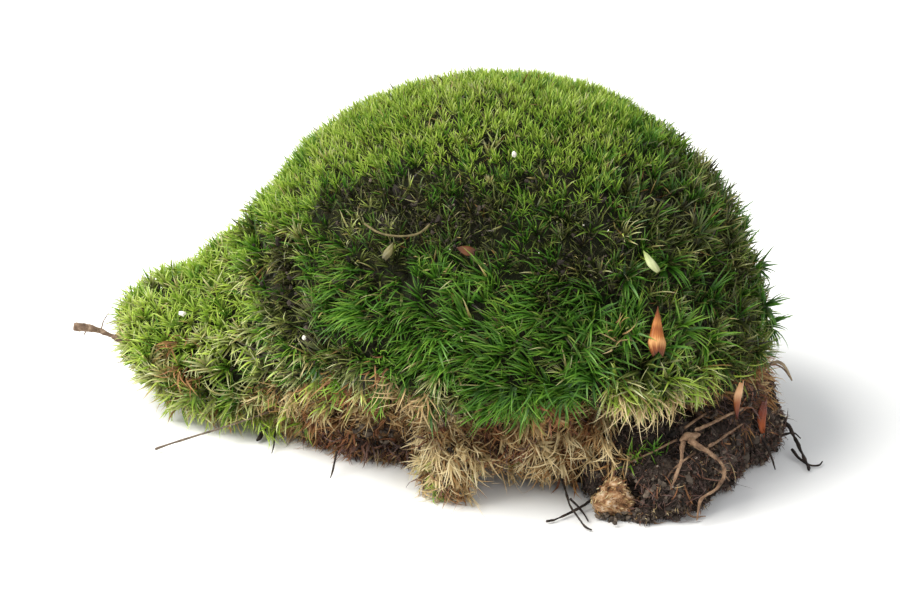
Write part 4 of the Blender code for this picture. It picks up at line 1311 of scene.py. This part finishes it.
# Thinner branches and loose hairs, too fine for the frame: the route of each and its radii, mm.
twiglets = {
    "side_twigs": {"skin": "darkTwig", "slot": "dark_twig", "runs": (
        (((66.0, -15, 1.5), (67.2, -17.5, 0.9), (68.8, -19.6, 0.6), (70.6, -19.6, 0.5),
          (71.4, -18.4, 0.7)), (0.30, 0.26, 0.22, 0.18, 0.12)),
        (((64.8, -11, 2.6), (66.6, -11.5, 3.2), (67.8, -12.6, 2.6)), (0.25, 0.18, 0.1)),
        (((24.2, -34.6, 1.2), (25.6, -36.8, 0.7), (26.6, -39.4, 0.5), (27.2, -41.8, 0.4)),
         (0.26, 0.22, 0.18, 0.12)),
        (((-32.4, -5.5, 1.6), (-33.2, -8.4, 0.9), (-33.8, -9.6, 0.7)), (0.3, 0.42, 0.2)),
        (((-30.4, -9, 2.5), (-30.5, -12, 1.0), (-30.8, -14.4, 0.4)), (0.2, 0.15, 0.1)),
        (((-18.5, -20, 3.5), (-19.2, -23.4, 1.2), (-19.6, -24.6, 0.4)), (0.22, 0.18, 0.1)),
        (((58, -16.5, 7), (60.5, -19.5, 5), (61.8, -21, 2.4), (62.4, -21.6, 0.6)),
         (0.3, 0.26, 0.2, 0.12)))},
    "side_roots": {"skin": "root", "slot": "root", "runs": (
        (((43.6, -37.2, 14.2), (44.8, -36.6, 14.7), (46.2, -35.8, 14.6), (47.2, -35, 14.4)),
         (0.3, 0.8, 0.7, 0.3)),
        (((45.6, -36.6, 14), (47.2, -36.9, 12.6), (48.8, -36.8, 12.2)), (0.5, 0.5, 0.3)),
        (((44.2, -37.4, 14), (43.9, -38.4, 13.4), (44, -38.8, 12.6)), (0.5, 0.45, 0.3)),
        (((44.6, -33.6, 15), (47.8, -30, 15.6), (51.2, -25.4, 15.4), (54, -21.5, 15.6)),
         (0.26, 0.24, 0.2, 0.14)),
        (((43.2, -35, 13.4), (38.5, -37.4, 12), (34.5, -38.6, 10.6)), (0.22, 0.18, 0.1)),
        (((46.4, -36.4, 11.5), (44.6, -38.2, 11), (42.4, -39, 9.4), (41, -40.4, 8)),
         (0.22, 0.2, 0.16, 0.1)),
        (((49, -35.6, 8.6), (51.6, -35, 6.6), (53, -33.6, 4.4)), (0.24, 0.18, 0.1)),
        (((44.4, -40.2, 2), (46, -40.8, 0.8), (48.4, -40, 0.5)), (0.26, 0.2, 0.1)),
        (((62.8, -4.2, 14.2), (64.8, -5, 13.4), (66.2, -6.4, 11.8)), (0.22, 0.16, 0.1)))},
    "stray_hairs": {"skin": "bark", "slot": "bark", "runs": (
        (((-64.2, 10, 14.4), (-63.6, 9.6, 16.6), (-62.4, 9.2, 18.6)), (0.14, 0.11, 0.07)),
        (((-66.6, 10, 15.4), (-67.4, 9.4, 13.8)), (0.2, 0.1)))},
}


def smoothRoute(route, steps):
    # a smooth line through the route's points
    points = np.array(route, float)
    ends = np.vstack([2 * points[0] - points[1], points, 2 * points[-1] - points[-2]])
    line = []
    for i in range(len(points) - 1):
        a, b, c, d = ends[i:i + 4]
        for t in np.arange(steps) / steps:
            line.append(0.5 * (2 * b + (c - a) * t + (2 * a - 5 * b + 4 * c - d) * t ** 2
                               + (3 * b - a - 3 * c + d) * t ** 3))
    return np.array(line + [points[-1]])


def tubeMesh(route, radii, sides=7, steps=6):
    line = smoothRoute(route, steps)
    radius = np.interp(np.linspace(0, 1, len(line)), np.linspace(0, 1, len(radii)), radii)
    ahead = unit(np.gradient(line, axis=0))
    across = unit(np.cross(ahead, np.array([0.31, 0.17, 0.93])))
    upward = np.cross(ahead, across)
    angle = np.arange(sides) * 2 * pi / sides
    ring = across[:, None] * np.cos(angle)[None, :, None] + upward[:, None] * np.sin(angle)[None, :, None]
    points = line[:, None] + ring * radius[:, None, None]
    flat = points.reshape(-1, 3)
    flat = flat + ring.reshape(-1, 3) * (0.12 * np.repeat(radius, sides) * 3
                                         * lumpy(flat, 0.7, 9))[:, None] * 0.6
    grid = np.arange(len(flat)).reshape(len(line), sides)
    around = np.roll(grid, -1, axis=1)
    quads = np.stack([grid[:-1], around[:-1], around[1:], grid[1:]], axis=-1).reshape(-1, 4)
    first, last = len(flat), len(flat) + 1
    caps = np.concatenate([np.stack([around[0], grid[0], np.full(sides, first)], axis=-1),
                           np.stack([grid[-1], around[-1], np.full(sides, last)], axis=-1)])
    return np.vstack([flat, line[:1], line[-1:]]), quads, caps


def buildTwiglets(name, plan):
    points, quads, caps, total = [], [], [], 0
    for route, radii in plan["runs"]:
        p, q, c = tubeMesh(route, radii)
        points.append(p)
        quads.append(q + total)
        caps.append(c + total)
        total += len(p)
    points = np.concatenate(points)
    points[:, 2] = np.maximum(points[:, 2], 0.03)
    obj = meshObject(name, points, [np.concatenate(quads), np.concatenate(caps)],
                     stemSkins[plan["skin"]])
    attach(obj, "root")


for twigletName, twigletPlan in twiglets.items():
    buildTwiglets(twigletName, twigletPlan)
print("stems dressed")


# Bud scales, bracts and husks.

# Each: the way its tip and its face point, how far it cups and curls (mm), its colours along
# it, and how ragged its foot is.
scales = {
    # front bud scale: its own orange brown, with the pale band low on it a painted highlight
    "front_bud_scale": {"tip": (0, 4, 7.2), "face": (0.25, -0.85, 0.47), "cup": 0.9, "curl": 0.7,
                        "colors": ((0.0, "#3a1a0c"), (0.16, "#7c421e"), (0.3, "#cf985f"),
                                   (0.40, "#a8642e"), (0.54, "#8a481a"), (0.64, "#b3733a"),
                                   (0.80, "#7a3d14"), (1.0, "#522a12")),
                        "slot": "bud_scale", "fork": 0.5, "widest": 0.26, "taper": 1.05},
    "small_bud_scale": {"tip": (-1, 0.2, 0.2), "face": (-0.1, -0.75, 0.65), "cup": 0.4, "curl": 0.2,
                        "colors": ((0.0, "#301a10"), (0.5, "#5f361c"), (1.0, "#3c2212")),
                        "slot": "bud_scale", "fork": 0.2},
    "pale_flake": {"tip": (0.5, 0.5, 0.8), "face": (-0.2, -0.8, 0.5), "cup": 0.3, "curl": 0.3,
                   "colors": ((0.0, "#3f3a22"), (0.5, "#6c653c"), (1.0, "#57552e")),
                   "slot": "husk", "fork": 0.1},
    "seed_husk": {"tip": (-0.6, 0.3, 0.75), "face": (0.5, -0.6, 0.62), "cup": 0.45, "curl": 0.3,
                  "colors": ((0.0, "#8c9060"), (0.5, "#c9cf9a"), (1.0, "#9fae5c")),
                  "slot": "husk", "fork": 0.0},
    "right_bract": {"tip": (0.05, 0.3, -1), "face": (0.6, -0.78, 0.2), "cup": 0.3, "curl": 0.9,
                    "colors": ((0.0, "#3f170b"), (0.35, "#702c11"), (0.65, "#97491c"),
                               (1.0, "#5f2711")),
                    "slot": "bract", "fork": 0.3},
    "small_bract": {"tip": (-0.05, 0.2, -1), "face": (0.6, -0.8, 0), "cup": 0.5, "curl": 0.8,
                    "colors": ((0.0, "#a9764a"), (0.3, "#cfa278"), (0.55, "#8a4c26"),
                               (0.8, "#5c2412"), (1.0, "#2c100a")),
                    "slot": "bract", "fork": 0.2},
}


def papery(name, colors):
    # Dry scale of a tree bud: thin, stiff and slightly glossy, streaked along its length.
    material, tree = newMaterial(name)
    uv = addNode(tree, "ShaderNodeUVMap", uv_map="OFBake")
    parts = addNode(tree, "ShaderNodeSeparateXYZ", {"Vector": uv.outputs["UV"]})
    stretched = addNode(tree, "ShaderNodeMapping", {"Vector": uv.outputs["UV"],
                                                    "Scale": (14, 1.6, 1)})
    streaks = addNode(tree, "ShaderNodeTexNoise", {"Vector": stretched.outputs[0], "Scale": 1.0,
                                                   "Detail": 5.0})
    shift = addNode(tree, "ShaderNodeMath", {0: streaks.outputs["Fac"], 1: 0.5},
                    operation="SUBTRACT")
    along = addNode(tree, "ShaderNodeMath", {0: shift.outputs[0], 1: 0.35, 2: parts.outputs["Y"]},
                    operation="MULTIPLY_ADD")
    ramp = addNode(tree, "ShaderNodeValToRGB", {"Fac": along.outputs[0]})
    setRamp(ramp, colors)
    bump = addNode(tree, "ShaderNodeBump", {"Height": streaks.outputs["Fac"], "Strength": 0.6,
                                            "Distance": 0.1 * mm})
    skin = addNode(tree, "ShaderNodeBsdfPrincipled",
                   {"Base Color": ramp.outputs["Color"], "Roughness": 0.45,
                    "Specular IOR Level": 0.3, "Normal": bump.outputs["Normal"]})
    addNode(tree, "ShaderNodeOutputMaterial", {"Surface": skin.outputs[0]})
    return material


def buildScale(name, plan):
    tip = np.array(Vector(plan["tip"]).normalized())
    side = np.array(Vector(plan["face"]).cross(Vector(plan["tip"])).normalized())
    out = np.cross(tip, side)
    if out @ np.array(plan["face"]) < 0:
        out = -out
    spots = readPoints(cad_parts[name])
    axes = np.stack([tip, side, out])
    low, high = (spots @ axes.T).min(axis=0), (spots @ axes.T).max(axis=0)
    middle = (low + high) / 2 @ axes
    length, width = (high - low)[:2]
    rows, columns = 17, 9
    points, uv = [], []
    for i in range(rows):
        s = i / (rows - 1)
        widest = plan.get("widest", 0.4)
        swell = (s + 0.08) / (widest + 0.08) if s < widest else (1 - s) / (1 - widest)
        half = width / 2 * min(swell, 1) ** (0.5 if s < widest else plan.get("taper", 0.8))
        half = half * (1 + 0.06 * sin(9 * s + 1)) + 0.02
        for j in range(columns):
            c = 2 * j / (columns - 1) - 1
            fork = plan["fork"] * (1 - s) ** 6 * (abs(c) - 0.6)
            place = (middle + tip * ((s - 0.5) * length - fork * 2) + side * c * half
                     + out * (plan["cup"] * (0.5 - c * c) * half / width * 2
                              + plan["curl"] * (2 * (s - 0.5) ** 2 - 0.3)
                              + 0.06 * sin(6 * c + 9 * s)))
            points.append(place)
            uv.append((0.05 + 0.9 * j / (columns - 1), 0.05 + 0.9 * s))
    grid = np.arange(rows * columns).reshape(rows, columns)
    quads = np.stack([grid[:-1, :-1], grid[:-1, 1:], grid[1:, 1:], grid[1:, :-1]], axis=-1)
    obj = meshObject(name + "_sheet", np.array(points), [quads.reshape(-1, 4)],
                     papery(name.replace("_", " ").title().replace(" ", ""), plan["colors"]),
                     uv=np.array(uv))
    thick = obj.modifiers.new("thickness", "SOLIDIFY")
    thick.thickness = 0.14 * mm
    thick.offset = 0
    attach(obj, "root")
    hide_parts(name)


for scaleName, scalePlan in scales.items():
    buildScale(scaleName, scalePlan)
print("scales made")


# Grit and rotten wood.

grit = {"shrink": 0.62, "chips": 0.16}
rottenWood = {"shrink": (0.88, 0.86, 0.98), "drop": 0.45, "ridge": 0.55, "bulge": 1.1, "splinters": 200, "seed": 33}


def skinOfNode(name, label, levels):
    obj = nodeCopy([name], label)
    finer = obj.modifiers.new("finer", "SUBSURF")
    finer.levels = levels
    return settle(obj)


def dressGrains():
    # quartz grit: broken, white and slightly glassy
    quartz = rough("quartzGrit", ((0.35, "#b5ada0"), (0.55, "#dcd7cc"), (0.7, "#f4f2ec")),
                   0.8, 0.35, 0.05, 4.0, specular=0.5)
    for name in ("tail_grit", "crown_grit", "valley_grit"):
        obj = skinOfNode(name, name + "_grain", 1)
        points = readPoints(obj)
        centre = points.mean(axis=0)
        away = (points - centre) * grit["shrink"]
        away = away * (1 + 2 * grit["chips"] * lumpy(points * 3, 1.6, len(name)))[:, None]
        writePoints(obj, centre + away)
        obj.data.materials.clear()
        obj.data.materials.append(quartz)
        obj.data.polygons.foreach_set("use_smooth", np.zeros(len(obj.data.polygons), bool))
        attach(obj, "root")
        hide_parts(name)

    # rotten wood: soft, fibrous, pale tan, stained brown by the peat, its splinters lifting
    rng = np.random.default_rng(rottenWood["seed"])
    wood = rough("rottenWood", ((0.34, "#3f2a1c"), (0.45, "#8a6342"), (0.55, "#c09a72"),
                                (0.66, "#e8d7bd")), 0.5, 0.9, 0.5, 2.0, detail=9)
    lump = skinOfNode("rotten_wood", "rotten_wood_lump", 3)
    points, normals = readPoints(lump), readNormals(lump)
    centre = points.mean(axis=0)
    grain = points * [0.3, 1.2, 1.2]
    swell = rottenWood["ridge"] * (lumpy(points, 1.9, 51) + 0.8 * lumpy(grain, 0.55, 52))
    swell = swell + rottenWood["bulge"] * lumpy(points, 3.6, 53)
    shrunk = centre + (points - centre) * rottenWood["shrink"] - [0, 0, rottenWood["drop"]]
    writePoints(lump, np.maximum(shrunk + normals * swell[:, None], [-999, -999, 0.05]))
    lump.data.materials.clear()
    lump.data.materials.append(wood)
    lump.data.polygons.foreach_set("use_smooth", np.ones(len(lump.data.polygons), bool))
    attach(lump, "root")
    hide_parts("rotten_wood")

    p, n = sprinkle(lump, rng, rottenWood["splinters"])
    size = len(p)
    along = unit(np.array([1, 0.2, 0.3]) + rng.normal(0, 0.45, (size, 3)))
    splinters = {"base": p - along * 0.5, "start": along + n * 0.45, "bend": n + rng.normal(0, 0.5, (size, 3)),
                 "length": rng.uniform(0.6, 1.7, size), "turn": rng.uniform(0.2, 1.6, size),
                 "width": rng.uniform(0.12, 0.4, size), "twist": rng.normal(0, 1, size),
                 "tint": np.clip(rng.normal(0.46, 0.18, size), 0.1, 0.79)}
    piece = blades("wood_splinters", splinters, (0.8, 1.0, 0.9, 0.6, 0.0), deadMaterial)
    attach(piece, "root")


dressGrains()
print("grit and wood done")


bpy.context.view_layer.update()
